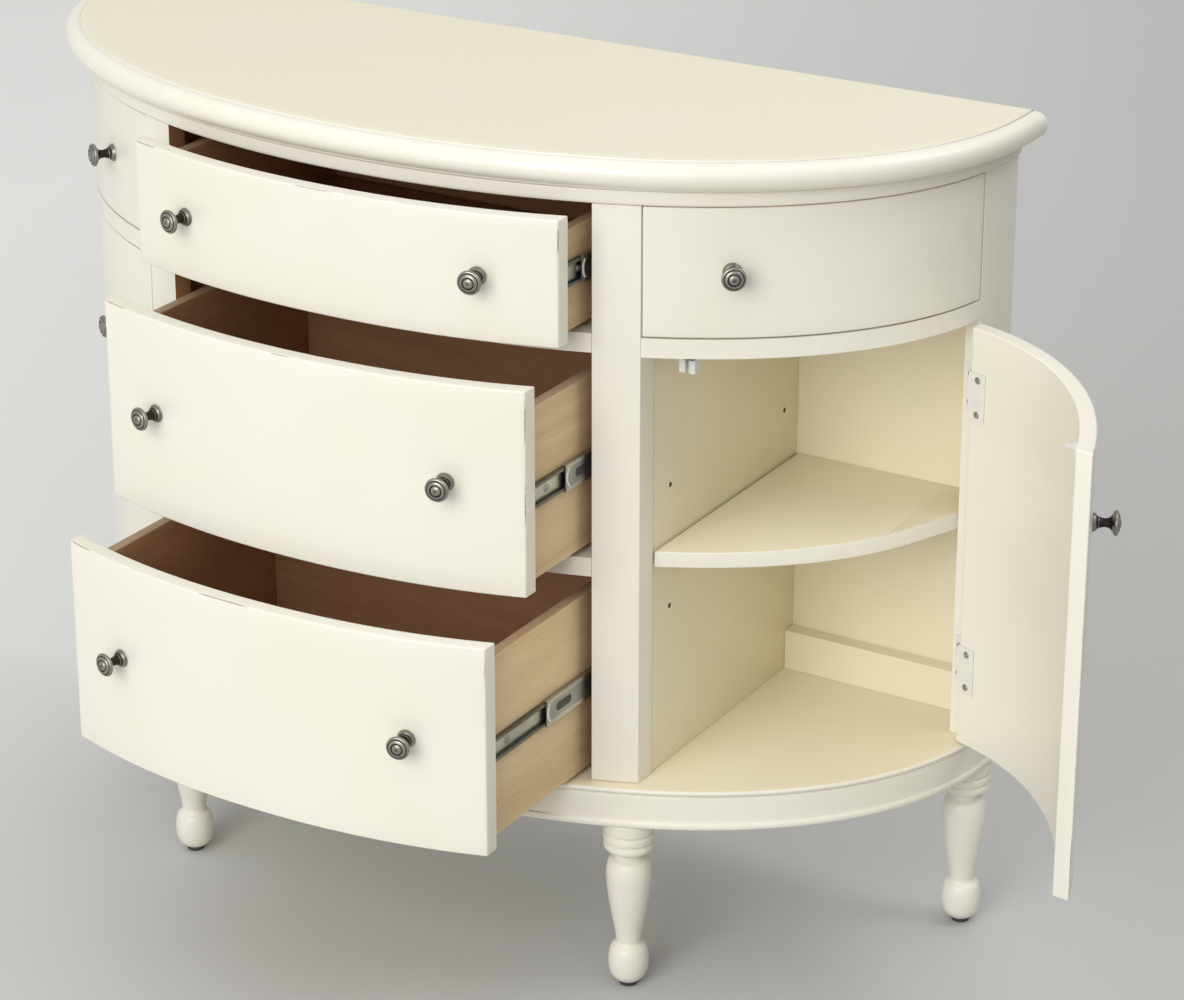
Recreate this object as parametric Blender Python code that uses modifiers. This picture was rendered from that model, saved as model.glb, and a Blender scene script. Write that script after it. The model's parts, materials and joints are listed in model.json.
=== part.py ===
# Half-moon sideboard with three bowed centre drawers, a curved drawer and a
# curved door at each end, an adjustable shelf behind each door and turned legs.
# The top drawer, the middle drawer, the bottom drawer and the right door stand open.
import math

import bmesh
import bpy
from mathutils import Vector

for old in list(bpy.data.objects):
    bpy.data.objects.remove(old, do_unlink=True)

# Clearances and overruns
seat_gap = 0.0003
running_gap = 0.002
slide_gap = 0.0004
curve_gap = 0.0006
overrun = 0.004
weld_overlap = 0.0004
weld_distance = 0.00001

# Plan of the body: half width and bow of the front, and where its curve starts
body_half_width = 0.524
body_bow = 0.3614
straight_end = 0.0265
bow_power_share = 2.091

# Heights of the stack
leg_height = 0.191
base_thickness = 0.0437
bottom_bay = 0.2213
middle_bay = 0.2127
top_bay = 0.1300
divider_thickness = 0.0195
deck_drop = 0.002
sub_top_thickness = 0.0230
top_thickness = 0.0227

# Boards
top_side_overhang = 0.029
top_front_overhang = 0.0176
base_lip = 0.0135
sub_top_lip = 0.012
back_thickness = 0.005
partition_thickness = 0.018
partition_setback = 0.001
stile_inner_x = 0.2479
stile_width = 0.0436
stile_thickness = 0.024
end_stile_width = 0.018
end_stile_depth = 0.068
divider_depth = 0.093
rail_height = 0.0437
rail_thickness = 0.018
shelf_thickness = 0.0165
shelf_inset = 0.024
shelf_gap = 0.002
shelf_height = 0.225

# Fronts, drawer boxes and how far each piece stands open
front_thickness = 0.017
door_thickness = 0.0165
box_wall = 0.012
box_bottom = 0.006
box_floor_gap = 0.0065
slide_space = 0.0127
box_rear_space = 0.030
top_box_drop = 0.0205
middle_box_drop = 0.0280
bottom_box_drop = 0.0225
side_box_drop = 0.0120
top_drawer_open = 0.0560
middle_drawer_open = 0.1155
bottom_drawer_open = 0.1880
side_box_inset = 0.006
side_box_end_space = 0.011
side_box_rear_space = 0.020
door_open_turn = math.radians(82.5)

# Slides
member_height = 0.024
member_thickness = 0.0050
inner_channel_depth = 0.0038
channel_wall = 0.0014
outer_channel_depth = 0.0076
runner_height = 0.050
runner_setback = 0.020
member_setback = 0.003
slot_length = 0.028
slot_height = 0.009
slot_setback = 0.018
top_slide_share = 0.58
middle_slide_share = 0.50
bottom_slide_share = 0.50

# Hinges
hinge_height = 0.050
hinge_gap = 0.0028
leaf_thickness = 0.0009
leaf_width = 0.020
frame_leaf_width = 0.015
knuckle_radius = 0.0023
lower_hinge_end_space = 0.058
upper_hinge_end_space = 0.045

# Catch under each side board
catch_width = 0.019
catch_depth = 0.020
catch_plate = 0.002
catch_block_height = 0.0225
catch_block_width = 0.0075
catch_block_depth = 0.012
catch_offset = 0.0265

# Knobs
knob_radius = 0.0122
knob_length = 0.0265
knob_offset = 0.170
side_knob_x = 0.367
door_knob_x = 0.362
knob_rise = 0.002
lower_knob_rise = 0.006
door_knob_height = 0.352

# Legs, set in from the edge of the body by these distances
leg_radius = 0.026
front_leg_shift = 0.0055
front_leg_inset = 0.0175
rear_leg_side_inset = 0.015
rear_leg_back_inset = 0.0297

# Outlines as shares: radius by the largest radius, height by the full height
leg_shares = (
    (0.90, 1.0), (0.97, 0.975), (0.97, 0.935), (0.91, 0.925), (1.0, 0.910),
    (1.0, 0.880), (0.92, 0.870), (0.99, 0.857), (0.86, 0.822), (0.57, 0.792),
    (0.60, 0.765), (0.83, 0.725), (0.90, 0.672), (0.875, 0.600), (0.79, 0.520),
    (0.66, 0.430), (0.54, 0.340), (0.50, 0.272), (0.53, 0.245), (0.70, 0.215),
    (0.80, 0.165), (0.80, 0.115), (0.70, 0.065), (0.46, 0.034), (0.37, 0.028),
    (0.37, 0.0),
)
knob_shares = (
    (0.0, 1.0), (0.55, 0.965), (0.88, 0.87), (1.0, 0.72), (0.93, 0.60),
    (0.50, 0.49), (0.38, 0.33), (0.50, 0.17), (0.74, 0.08), (0.76, 0.0),
)
top_edge_shares = (
    (-0.36, 0.0), (-0.17, 0.12), (-0.04, 0.32), (0.0, 0.56), (-0.10, 0.82), (-0.30, 0.96),
    (-0.57, 1.0),
)
sub_top_edge_shares = ((0.03, 0.0), (0.27, 0.14), (0.30, 0.60), (0.55, 0.70), (1.0, 1.0))
base_edge_shares = (
    (0.86, 0.0), (0.96, 0.08), (0.86, 0.17), (0.80, 0.80), (0.70, 0.84), (0.95, 0.88),
    (1.0, 0.94), (0.85, 1.0),
)
curve_steps = 44
panel_steps = 16
turned_steps = 20
knob_steps = 16
knuckle_sides = 10

# Derived places
base_bottom = leg_height + seat_gap
base_top = base_bottom + base_thickness
lower_divider_bottom = base_top + bottom_bay
upper_divider_bottom = lower_divider_bottom + divider_thickness + middle_bay
upper_divider_top = upper_divider_bottom + divider_thickness
side_deck_bottom = upper_divider_bottom - deck_drop
side_deck_top = upper_divider_top - deck_drop
sub_top_bottom = upper_divider_top + top_bay
top_bottom = sub_top_bottom + sub_top_thickness + seat_gap
top_top = top_bottom + top_thickness
carcass_bottom = base_top + seat_gap
carcass_top = sub_top_bottom - seat_gap
stile_outer_x = stile_inner_x + stile_width
partition_outer_x = stile_outer_x - partition_setback
partition_inner_x = partition_outer_x - partition_thickness
end_inner_x = body_half_width - end_stile_width
inner_back_y = -back_thickness - seat_gap
end_face_y = -end_stile_depth
door_end_y = end_face_y - hinge_gap
side_front_end_y = end_face_y - running_gap
box_half_width = stile_inner_x - slide_space
side_front_start_x = stile_outer_x + running_gap
side_front_bottom = side_deck_top + running_gap
side_front_top = sub_top_bottom - running_gap
door_bottom = base_top + running_gap
door_top = side_deck_bottom - running_gap
front_leg_x = stile_inner_x + stile_width / 2.0 + front_leg_shift
rear_leg_x = body_half_width - rear_leg_side_inset

main = bpy.data.collections.new("sideboard")
bpy.context.scene.collection.children.link(main)
cutters = bpy.data.collections.new("cutters")
bpy.context.scene.collection.children.link(cutters)


def make_material(name, colour, roughness, metallic=0.0):
    material = bpy.data.materials.new(name)
    material.use_nodes = True
    shader = material.node_tree.nodes["Principled BSDF"]
    shader.inputs["Base Color"].default_value = (*colour, 1.0)
    shader.inputs["Roughness"].default_value = roughness
    shader.inputs["Metallic"].default_value = metallic
    return material


cream_paint = make_material("cream paint", (0.83, 0.79, 0.66), 0.45)
pale_wood = make_material("pale drawer wood", (0.58, 0.41, 0.23), 0.55)
slide_steel = make_material("zinc plated steel", (0.62, 0.62, 0.60), 0.35, 1.0)
knob_metal = make_material("aged pewter", (0.20, 0.19, 0.17), 0.42, 1.0)
hinge_paint = make_material("white painted steel", (0.85, 0.83, 0.76), 0.40, 0.3)
catch_plastic = make_material("white catch plastic", (0.82, 0.80, 0.74), 0.50)


def make_empty(name, parent=None, location=(0.0, 0.0, 0.0)):
    empty = bpy.data.objects.new(name, None)
    empty.location = location
    empty.parent = parent
    main.objects.link(empty)
    return empty


root = make_empty("sideboard_root")


def place(piece, material, parent, location=(0.0, 0.0, 0.0)):
    piece.data.materials.clear()
    piece.data.materials.append(material)
    piece.parent = parent
    piece.location = location
    return piece


# The front follows a rounded outline whose half width and bow grow by an overhang
def curve_point(angle, half_width, bow):
    across = math.cos(angle)
    along = max(math.sin(angle), 0.0)
    power = 2.0 / bow_power_share
    x = math.copysign(half_width * abs(across) ** power, across)
    return (x, -straight_end - bow * along**power)


def angle_at_x(x, half_width):
    share = min(abs(x) / half_width, 1.0) ** (bow_power_share / 2.0)
    return math.acos(math.copysign(share, x))


def angle_at_y(y, bow):
    share = max(min((-straight_end - y) / bow, 1.0), 0.0)
    return math.asin(share ** (bow_power_share / 2.0))


def curve_between(start, end, out, steps):
    half_width, bow = body_half_width + out, body_bow + out
    step = (end - start) / steps
    return [curve_point(start + step * i, half_width, bow) for i in range(steps + 1)]


def curve_y(x, out=0.0):
    half_width = body_half_width + out
    return curve_point(angle_at_x(x, half_width), half_width, body_bow + out)[1]


def across_curve(x_from, x_to, out, steps):
    half_width = body_half_width + out
    return curve_between(angle_at_x(x_from, half_width), angle_at_x(x_to, half_width), out, steps)


# A curve that starts at a given x near the front stile and ends at a given y by the end stile
def side_curve(x_from, y_to, out, steps):
    start = angle_at_x(x_from, body_half_width + out)
    return curve_between(start, angle_at_y(y_to, body_bow + out), out, steps)


def mirrored(outline, side):
    return [(x * side, y) for x, y in outline]


# A flat board: its outline in plan, filled and thickened between two heights
def board(name, outline, bottom, top, target=main):
    curve = bpy.data.curves.new(name, "CURVE")
    curve.dimensions = "2D"
    curve.fill_mode = "BOTH"
    curve.extrude = (top - bottom) / 2.0
    spline = curve.splines.new("POLY")
    spline.points.add(len(outline) - 1)
    for point, (x, y) in zip(spline.points, outline):
        point.co = (x, y, 0.0, 1.0)
    spline.use_cyclic_u = True
    shape = bpy.data.objects.new(name + "_outline", curve)
    bpy.context.scene.collection.objects.link(shape)
    shape.location = (0.0, 0.0, (bottom + top) / 2.0)
    bpy.context.view_layer.update()
    depsgraph = bpy.context.evaluated_depsgraph_get()
    mesh = bpy.data.meshes.new_from_object(shape.evaluated_get(depsgraph))
    mesh.transform(shape.matrix_world)
    welded = bmesh.new()
    welded.from_mesh(mesh)
    bmesh.ops.remove_doubles(welded, verts=welded.verts, dist=weld_distance)
    bmesh.ops.recalc_face_normals(welded, faces=welded.faces)
    welded.to_mesh(mesh)
    welded.free()
    bpy.data.objects.remove(shape, do_unlink=True)
    piece = bpy.data.objects.new(name, mesh)
    target.objects.link(piece)
    return piece


def block(name, low, high, target=main):
    mesh = bpy.data.meshes.new(name)
    cube = bmesh.new()
    bmesh.ops.create_cube(cube, size=1.0)
    low, high = Vector(low), Vector(high)
    for vertex in cube.verts:
        share = vertex.co + Vector((0.5, 0.5, 0.5))
        vertex.co = low + Vector(a * b for a, b in zip(share, high - low))
    cube.to_mesh(mesh)
    cube.free()
    piece = bpy.data.objects.new(name, mesh)
    target.objects.link(piece)
    return piece


def sided_block(name, side, low, high, target=main):
    xs = sorted((low[0] * side, high[0] * side))
    return block(name, (xs[0], low[1], low[2]), (xs[1], high[1], high[2]), target)


def combine(piece, other, operation):
    modifier = piece.modifiers.new(other.name, "BOOLEAN")
    modifier.operation = operation
    modifier.solver = "EXACT"
    modifier.object = other
    other.parent = piece.parent
    other.location = piece.location
    other.hide_render = True
    other.display_type = "WIRE"


# A board with a moulded edge: one ring of the plan for each point of the edge profile
def moulded_board(name, side_out, front_out, lip, bottom, thickness, shares):
    mesh = bpy.data.meshes.new(name)
    shell = bmesh.new()
    rings = []
    for out_share, height_share in shares:
        extra = out_share * lip
        half_width = body_half_width + side_out + extra
        bow = body_bow + front_out + extra
        step = math.pi / curve_steps
        plan = [(half_width, 0.0)]
        plan += [curve_point(step * i, half_width, bow) for i in range(curve_steps + 1)]
        plan += [(-half_width, 0.0)]
        z = bottom + thickness * height_share
        rings.append([shell.verts.new((x, y, z)) for x, y in plan])
    for lower, upper in zip(rings, rings[1:]):
        for i in range(len(lower)):
            j = (i + 1) % len(lower)
            shell.faces.new((lower[i], lower[j], upper[j], upper[i]))
    shell.faces.new(rings[0])
    shell.faces.new(rings[-1])
    bmesh.ops.recalc_face_normals(shell, faces=shell.faces)
    shell.to_mesh(mesh)
    shell.free()
    piece = bpy.data.objects.new(name, mesh)
    main.objects.link(piece)
    return piece


# A turned piece: its profile spun round its own height, outer side run top to bottom
def turned(name, shares, radius, height, steps):
    mesh = bpy.data.meshes.new(name)
    points = [(r * radius, 0.0, z * height) for r, z in shares]
    if shares[0][0] > 0.0:
        points.insert(0, (0.0, 0.0, shares[0][1] * height))
    points.append((0.0, 0.0, shares[-1][1] * height))
    mesh.from_pydata(points, [(i, i + 1) for i in range(len(points) - 1)], [])
    piece = bpy.data.objects.new(name, mesh)
    main.objects.link(piece)
    screw = piece.modifiers.new("turn", "SCREW")
    screw.axis = "Z"
    screw.steps = steps
    screw.render_steps = steps
    screw.use_merge_vertices = True
    screw.merge_threshold = weld_distance
    screw.use_smooth_shade = True
    return piece


# Flat boards of the carcass
top_panel = moulded_board(
    "top_panel", top_side_overhang, top_front_overhang, top_side_overhang, top_bottom,
    top_thickness, top_edge_shares,
)
place(top_panel, cream_paint, root)
sub_top = moulded_board(
    "sub_top", 0.0, 0.0, sub_top_lip, sub_top_bottom, sub_top_thickness, sub_top_edge_shares
)
place(sub_top, cream_paint, root)
base_panel = moulded_board(
    "base_panel", 0.0, 0.0, base_lip, base_bottom, base_thickness, base_edge_shares
)
place(base_panel, cream_paint, root)
back_panel = block(
    "back_panel",
    (-end_inner_x + seat_gap, -back_thickness, carcass_bottom),
    (end_inner_x - seat_gap, 0.0, carcass_top),
)
place(back_panel, cream_paint, root)

# Bays of the centre drawers, from the top down
bay_bottoms = (upper_divider_top, lower_divider_bottom + divider_thickness, base_top)
bay_heights = (top_bay, middle_bay, bottom_bay)
box_drops = (top_box_drop, middle_box_drop, bottom_box_drop)
openings = (top_drawer_open, middle_drawer_open, bottom_drawer_open)
drawer_names = ("top_drawer", "middle_drawer", "bottom_drawer")
slide_shares = (top_slide_share, middle_slide_share, bottom_slide_share)
knob_rises = (knob_rise, lower_knob_rise, lower_knob_rise)
front_ranges = []
box_ranges = []
slide_heights = []
for bay_bottom, bay_height, drop, share in zip(bay_bottoms, bay_heights, box_drops, slide_shares):
    front_low = bay_bottom + running_gap
    front_high = bay_bottom + bay_height - running_gap
    box_low = bay_bottom + box_floor_gap
    box_high = front_high - drop
    front_ranges.append((front_low, front_high))
    box_ranges.append((box_low, box_high))
    slide_heights.append(box_low + (box_high - box_low) * share)

# The slides: drawer member on the box, channel between, channel on the runner
inner_channel_height = member_height + (slide_gap + channel_wall) * 2.0
outer_channel_height = inner_channel_height + (slide_gap + channel_wall) * 2.0
member_x = box_half_width + member_thickness
inner_web_x = member_x + slide_gap + channel_wall
inner_open_x = inner_web_x - inner_channel_depth
outer_web_x = inner_web_x + slide_gap
outer_open_x = stile_inner_x - seat_gap - outer_channel_depth
slide_front_y = curve_y(stile_inner_x, -front_thickness) + member_setback
slide_back_y = -box_rear_space - member_setback


def channel_cutter(name, side, height, web_x, open_x, wall, y_front, y_back, z):
    half = height / 2.0 - wall
    low = (open_x - overrun, y_front - overrun, z - half)
    high = (web_x, y_back + overrun, z + half)
    return sided_block(name, side, low, high, cutters)


def make_partition(side, label):
    inner_y_a = curve_y(partition_inner_x, -stile_thickness) + seat_gap
    inner_y_b = curve_y(partition_outer_x, -stile_thickness) + seat_gap
    outline = [
        (partition_inner_x, inner_back_y),
        (partition_inner_x, inner_y_a),
        (partition_outer_x, inner_y_b),
        (partition_outer_x, inner_back_y),
    ]
    panel = board("partition_" + label, mirrored(outline, side), carcass_bottom, carcass_top)
    place(panel, cream_paint, root)
    runner_front_y = inner_y_a + runner_setback
    for name, z in zip(drawer_names, slide_heights):
        half = runner_height / 2.0
        runner = sided_block(
            "runner_" + name + "_" + label,
            side,
            (stile_inner_x + seat_gap, runner_front_y, z - half),
            (partition_inner_x + weld_overlap, slide_back_y, z + half),
            cutters,
        )
        combine(panel, runner, "UNION")
        half = outer_channel_height / 2.0
        member = sided_block(
            "cabinet_member_" + name + "_" + label,
            side,
            (outer_open_x, slide_front_y, z - half),
            (stile_inner_x - seat_gap, slide_back_y, z + half),
            cutters,
        )
        combine(panel, member, "UNION")
        foot = sided_block(
            "member_foot_" + name + "_" + label,
            side,
            (outer_web_x + weld_overlap, runner_front_y + weld_overlap, z - half + weld_overlap),
            (stile_inner_x + overrun, slide_back_y - weld_overlap, z + half - weld_overlap),
            cutters,
        )
        combine(panel, foot, "UNION")
        groove = channel_cutter(
            "groove_" + name + "_" + label,
            side,
            outer_channel_height,
            outer_web_x,
            outer_open_x,
            channel_wall,
            slide_front_y,
            slide_back_y,
            z,
        )
        combine(panel, groove, "DIFFERENCE")
    return panel


def make_side(side, label):
    make_partition(side, label)
    outer = across_curve(stile_inner_x, stile_outer_x, 0.0, 6)
    inner = across_curve(stile_outer_x, stile_inner_x, -stile_thickness, 6)
    front_stile = board(
        "front_stile_" + label, mirrored(outer + inner, side), carcass_bottom, carcass_top
    )
    place(front_stile, cream_paint, root)
    outline = [(end_inner_x, 0.0), (end_inner_x, end_face_y)]
    outline += curve_between(angle_at_y(end_face_y, body_bow), 0.0, 0.0, 6)
    outline += [(body_half_width, 0.0)]
    end_stile = board(
        "end_stile_" + label, mirrored(outline, side), carcass_bottom, carcass_top
    )
    place(end_stile, cream_paint, root)
    rail = sided_block(
        "back_rail_" + label,
        side,
        (partition_outer_x + seat_gap, inner_back_y - rail_thickness, carcass_bottom),
        (end_inner_x - seat_gap, inner_back_y, carcass_bottom + rail_height),
    )
    place(rail, cream_paint, root)
    start_x = stile_outer_x + seat_gap
    notch_y = end_face_y - seat_gap
    outline = [
        (start_x, inner_back_y),
        (end_inner_x - seat_gap, inner_back_y),
        (end_inner_x - seat_gap, notch_y),
    ]
    outline += reversed(side_curve(start_x, notch_y, 0.0, panel_steps))
    deck = board(
        "side_deck_" + label, mirrored(outline, side), side_deck_bottom, side_deck_top
    )
    place(deck, cream_paint, root)
    shelf_bottom = base_top + shelf_height
    shelf_left_x = partition_outer_x + shelf_gap
    shelf_right_x = end_inner_x - seat_gap
    outline = [
        (shelf_left_x, inner_back_y),
        (shelf_right_x, inner_back_y),
        (shelf_right_x, end_face_y),
    ]
    outline += reversed(side_curve(shelf_left_x, end_face_y, -shelf_inset, panel_steps))
    shelf = board(
        "shelf_" + label, mirrored(outline, side), shelf_bottom, shelf_bottom + shelf_thickness
    )
    place(shelf, cream_paint, root)
    make_catch(side, label)
    for kind, x, y in (
        ("front", front_leg_x, curve_y(front_leg_x) + front_leg_inset),
        ("rear", rear_leg_x, -rear_leg_back_inset),
    ):
        leg = turned("leg_" + kind + "_" + label, leg_shares, leg_radius, leg_height, turned_steps)
        place(leg, cream_paint, root, (x * side, y, 0.0))


def make_catch(side, label):
    x = stile_outer_x + catch_offset
    half = catch_width / 2.0
    y = curve_y(x + half, -door_thickness) + running_gap + catch_depth / 2.0
    top = side_deck_bottom - seat_gap
    catch = sided_block(
        "catch_" + label,
        side,
        (x - half, y - catch_depth / 2.0, top - catch_plate),
        (x + half, y + catch_depth / 2.0, top),
    )
    place(catch, catch_plastic, root)
    for name, start in (("a", x - half + seat_gap), ("b", x + half - seat_gap - catch_block_width)):
        magnet = sided_block(
            "catch_block_" + name + "_" + label,
            side,
            (start, y - catch_block_depth / 2.0, top - catch_plate - catch_block_height),
            (start + catch_block_width, y + catch_block_depth / 2.0, top - catch_plate / 2.0),
            cutters,
        )
        combine(catch, magnet, "UNION")


# Knobs stand square to the front that carries them
def curve_turn(x):
    step = overrun
    rise = curve_y(x + step) - curve_y(x - step)
    return math.atan2(rise, step + step)


def add_knob(name, x, z, parent, location):
    knob = turned(name, knob_shares, knob_radius, knob_length, knob_steps)
    turn = curve_turn(x)
    out = Vector((math.sin(turn), -math.cos(turn), 0.0))
    seat = Vector((x, curve_y(x), z)) + out * (curve_gap - seat_gap)
    place(knob, knob_metal, parent, seat + Vector(location))
    knob.rotation_euler = (math.pi / 2.0, 0.0, turn)
    return knob


# A drawer: bowed front, and a box with open top that meets the back of the front
def box_outline(left_x, right_x, rear_y, out):
    outline = [(left_x, rear_y)]
    outline += [
        (x, y + curve_gap) for x, y in across_curve(left_x, right_x, out, panel_steps)
    ]
    outline += [(right_x, rear_y)]
    return outline


def make_box(name, left_x, right_x, rear_y, low, high, parent, side=1):
    outline = box_outline(left_x, right_x, rear_y, -front_thickness)
    box = board(name, mirrored(outline, side), low, high)
    place(box, pale_wood, parent)
    inner = [
        (left_x + box_wall, rear_y - box_wall),
        (left_x + box_wall, curve_y(0.0) - overrun),
        (right_x - box_wall, curve_y(0.0) - overrun),
        (right_x - box_wall, rear_y - box_wall),
    ]
    pocket = board(name + "_pocket", mirrored(inner, side), low + box_bottom, high + overrun, cutters)
    combine(box, pocket, "DIFFERENCE")
    return box


def make_drawer(name, front_range, box_range, z, opening, rise):
    slide = make_empty(name, root, (0.0, -opening, 0.0))
    width = stile_inner_x - running_gap
    outer = across_curve(-width, width, 0.0, panel_steps)
    inner = across_curve(width, -width, -front_thickness, panel_steps)
    front = board(name + "_front", outer + inner, *front_range)
    place(front, cream_paint, slide)
    box = make_box(
        name + "_box", -box_half_width, box_half_width, -box_rear_space, *box_range, slide
    )
    middle = (front_range[0] + front_range[1]) / 2.0 + rise
    for side, label in ((1, "right"), (-1, "left")):
        half = member_height / 2.0
        member = sided_block(
            name + "_member_" + label,
            side,
            (box_half_width - weld_overlap, slide_front_y, z - half),
            (member_x, slide_back_y, z + half),
            cutters,
        )
        combine(box, member, "UNION")
        add_knob(name + "_knob_" + label, side * knob_offset, middle, slide, (0.0, 0.0, 0.0))
        carrier = make_empty(name + "_carrier_" + label, root, (0.0, -opening / 2.0, 0.0))
        half = inner_channel_height / 2.0
        channel = sided_block(
            name + "_slide_" + label,
            side,
            (inner_open_x, slide_front_y, z - half),
            (inner_web_x, slide_back_y, z + half),
        )
        place(channel, slide_steel, carrier)
        groove = channel_cutter(
            name + "_slide_groove_" + label,
            side,
            inner_channel_height,
            inner_web_x - channel_wall,
            inner_open_x,
            channel_wall,
            slide_front_y,
            slide_back_y,
            z,
        )
        combine(channel, groove, "DIFFERENCE")
        start = slide_front_y + slot_setback
        slot = sided_block(
            name + "_slot_" + label,
            side,
            (inner_open_x, start, z - slot_height / 2.0),
            (inner_web_x + overrun, start + slot_length, z + slot_height / 2.0),
            cutters,
        )
        combine(channel, slot, "DIFFERENCE")


def make_side_drawer(side, label):
    name = "side_drawer_" + label
    slide = make_empty(name, root)
    outer = side_curve(side_front_start_x, side_front_end_y, 0.0, panel_steps)
    inner = side_curve(side_front_start_x, side_front_end_y, -front_thickness, panel_steps)
    outline = outer + list(reversed(inner))
    front = board(name + "_front", mirrored(outline, side), side_front_bottom, side_front_top)
    place(front, cream_paint, slide)
    make_box(
        name + "_box",
        stile_outer_x + side_box_inset,
        end_inner_x - side_box_end_space,
        -side_box_rear_space,
        side_deck_top + seat_gap,
        side_front_top - side_box_drop,
        slide,
        side,
    )
    middle = (side_front_bottom + side_front_top) / 2.0 + knob_rise
    add_knob(name + "_knob", side * side_knob_x, middle, slide, (0.0, 0.0, 0.0))


# A door with its two hinges: one leaf wraps the door's end, the other lies on the end stile
def make_door(side, label, turn):
    name = "door_" + label
    outer_x = side_curve(side_front_start_x, door_end_y, 0.0, panel_steps)[-1][0]
    axis_x = outer_x + knuckle_radius + curve_gap
    axis_y = (door_end_y + end_face_y) / 2.0
    pivot = make_empty(name, root, (axis_x * side, axis_y, 0.0))
    pivot.rotation_euler = (0.0, 0.0, turn * side)
    shift = (-axis_x * side, -axis_y, 0.0)
    outer = side_curve(side_front_start_x, door_end_y, 0.0, panel_steps)
    inner = side_curve(side_front_start_x, door_end_y, -door_thickness, panel_steps)
    outline = outer + list(reversed(inner))
    panel = board(name + "_panel", mirrored(outline, side), door_bottom, door_top)
    place(panel, cream_paint, pivot, shift)
    add_knob(name + "_knob", side * door_knob_x, base_top + door_knob_height, pivot, shift)
    for place_name, low in (
        ("lower", door_bottom + lower_hinge_end_space),
        ("upper", door_top - upper_hinge_end_space - hinge_height),
    ):
        make_hinge(name, place_name, side, low, axis_x, axis_y, pivot, shift)


def knuckle(name, x, y, bottom, top, target):
    mesh = bpy.data.meshes.new(name)
    drum = bmesh.new()
    bmesh.ops.create_cone(
        drum,
        cap_ends=True,
        segments=knuckle_sides,
        radius1=knuckle_radius,
        radius2=knuckle_radius,
        depth=top - bottom,
    )
    bmesh.ops.translate(drum, verts=drum.verts, vec=(x, y, (bottom + top) / 2.0))
    drum.to_mesh(mesh)
    drum.free()
    piece = bpy.data.objects.new(name, mesh)
    target.objects.link(piece)
    return piece


def make_hinge(name, place_name, side, low, axis_x, axis_y, pivot, shift):
    third = hinge_height / 3.0
    high = low + hinge_height
    label = name + "_" + place_name
    # Door leaf: on the inner face, round the end of the door and onto the middle knuckle
    gap = seat_gap
    near = side_curve(side_front_start_x, door_end_y, -door_thickness, panel_steps)[-1]
    strap_back_y = door_end_y + gap + leaf_thickness
    inner_x = near[0] - gap
    lean_x = curve_point(
        angle_at_y(door_end_y - leaf_width, body_bow - door_thickness),
        body_half_width - door_thickness,
        body_bow - door_thickness,
    )[0]
    outline = [
        (axis_x, strap_back_y),
        (inner_x - leaf_thickness, strap_back_y),
        (inner_x - leaf_thickness, door_end_y),
        (lean_x - gap - leaf_thickness, door_end_y - leaf_width),
        (lean_x - gap, door_end_y - leaf_width),
        (inner_x, door_end_y),
        (inner_x, door_end_y + gap),
        (axis_x, door_end_y + gap),
    ]
    door_leaf = board(label + "_leaf", mirrored(outline, side), low, high)
    place(door_leaf, hinge_paint, pivot, shift)
    barrel = knuckle(
        label + "_leaf_knuckle", axis_x * side, axis_y, low + third + gap, high - third - gap, cutters
    )
    combine(door_leaf, barrel, "UNION")
    for end_name, start, end in (
        ("low", low - overrun, low + third),
        ("high", high - third, high + overrun),
    ):
        relief = sided_block(
            label + "_leaf_relief_" + end_name,
            side,
            (axis_x - knuckle_radius - gap, door_end_y - overrun, start),
            (axis_x + knuckle_radius + overrun, end_face_y + overrun, end),
            cutters,
        )
        combine(door_leaf, relief, "DIFFERENCE")
    # Frame leaf: on the front face of the end stile, with the two outer knuckles
    frame_back_y = end_face_y - gap
    frame_leaf = sided_block(
        label + "_frame_leaf",
        side,
        (axis_x - frame_leaf_width, frame_back_y - leaf_thickness, low),
        (axis_x, frame_back_y, high),
    )
    place(frame_leaf, hinge_paint, root)
    relief = sided_block(
        label + "_frame_relief",
        side,
        (axis_x - knuckle_radius - gap, door_end_y, low + third),
        (axis_x + knuckle_radius + overrun, end_face_y + overrun, high - third),
        cutters,
    )
    combine(frame_leaf, relief, "DIFFERENCE")
    for end_name, start, end in (("low", low, low + third), ("high", high - third, high)):
        barrel = knuckle(
            label + "_frame_knuckle_" + end_name, axis_x * side, axis_y, start, end, cutters
        )
        combine(frame_leaf, barrel, "UNION")


def make_divider(name, bottom):
    width = stile_inner_x - seat_gap
    outline = across_curve(-width, width, 0.0, panel_steps)
    back_y = curve_y(0.0) + divider_depth
    outline += [(width, back_y), (-width, back_y)]
    divider = board(name, outline, bottom, bottom + divider_thickness)
    place(divider, cream_paint, root)


for side_sign, side_label in ((1, "right"), (-1, "left")):
    make_side(side_sign, side_label)
    make_side_drawer(side_sign, side_label)
make_divider("divider_upper", upper_divider_bottom)
make_divider("divider_lower", lower_divider_bottom)
for values in zip(drawer_names, front_ranges, box_ranges, slide_heights, openings, knob_rises):
    make_drawer(*values)
make_door(1, "right", door_open_turn)
make_door(-1, "left", 0.0)

# The root stands under the middle of the whole piece as it is posed
bpy.context.view_layer.update()
graph = bpy.context.evaluated_depsgraph_get()
lows = [math.inf, math.inf]
highs = [-math.inf, -math.inf]
for piece in main.objects:
    if piece.type != "MESH":
        continue
    shown = piece.evaluated_get(graph)
    for vertex in shown.data.vertices:
        point = shown.matrix_world @ vertex.co
        for axis in (0, 1):
            lows[axis] = min(lows[axis], point[axis])
            highs[axis] = max(highs[axis], point[axis])
root.location = (-(lows[0] + highs[0]) / 2.0, -(lows[1] + highs[1]) / 2.0, 0.0)
bpy.context.view_layer.update()
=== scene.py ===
import json
import math

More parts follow.
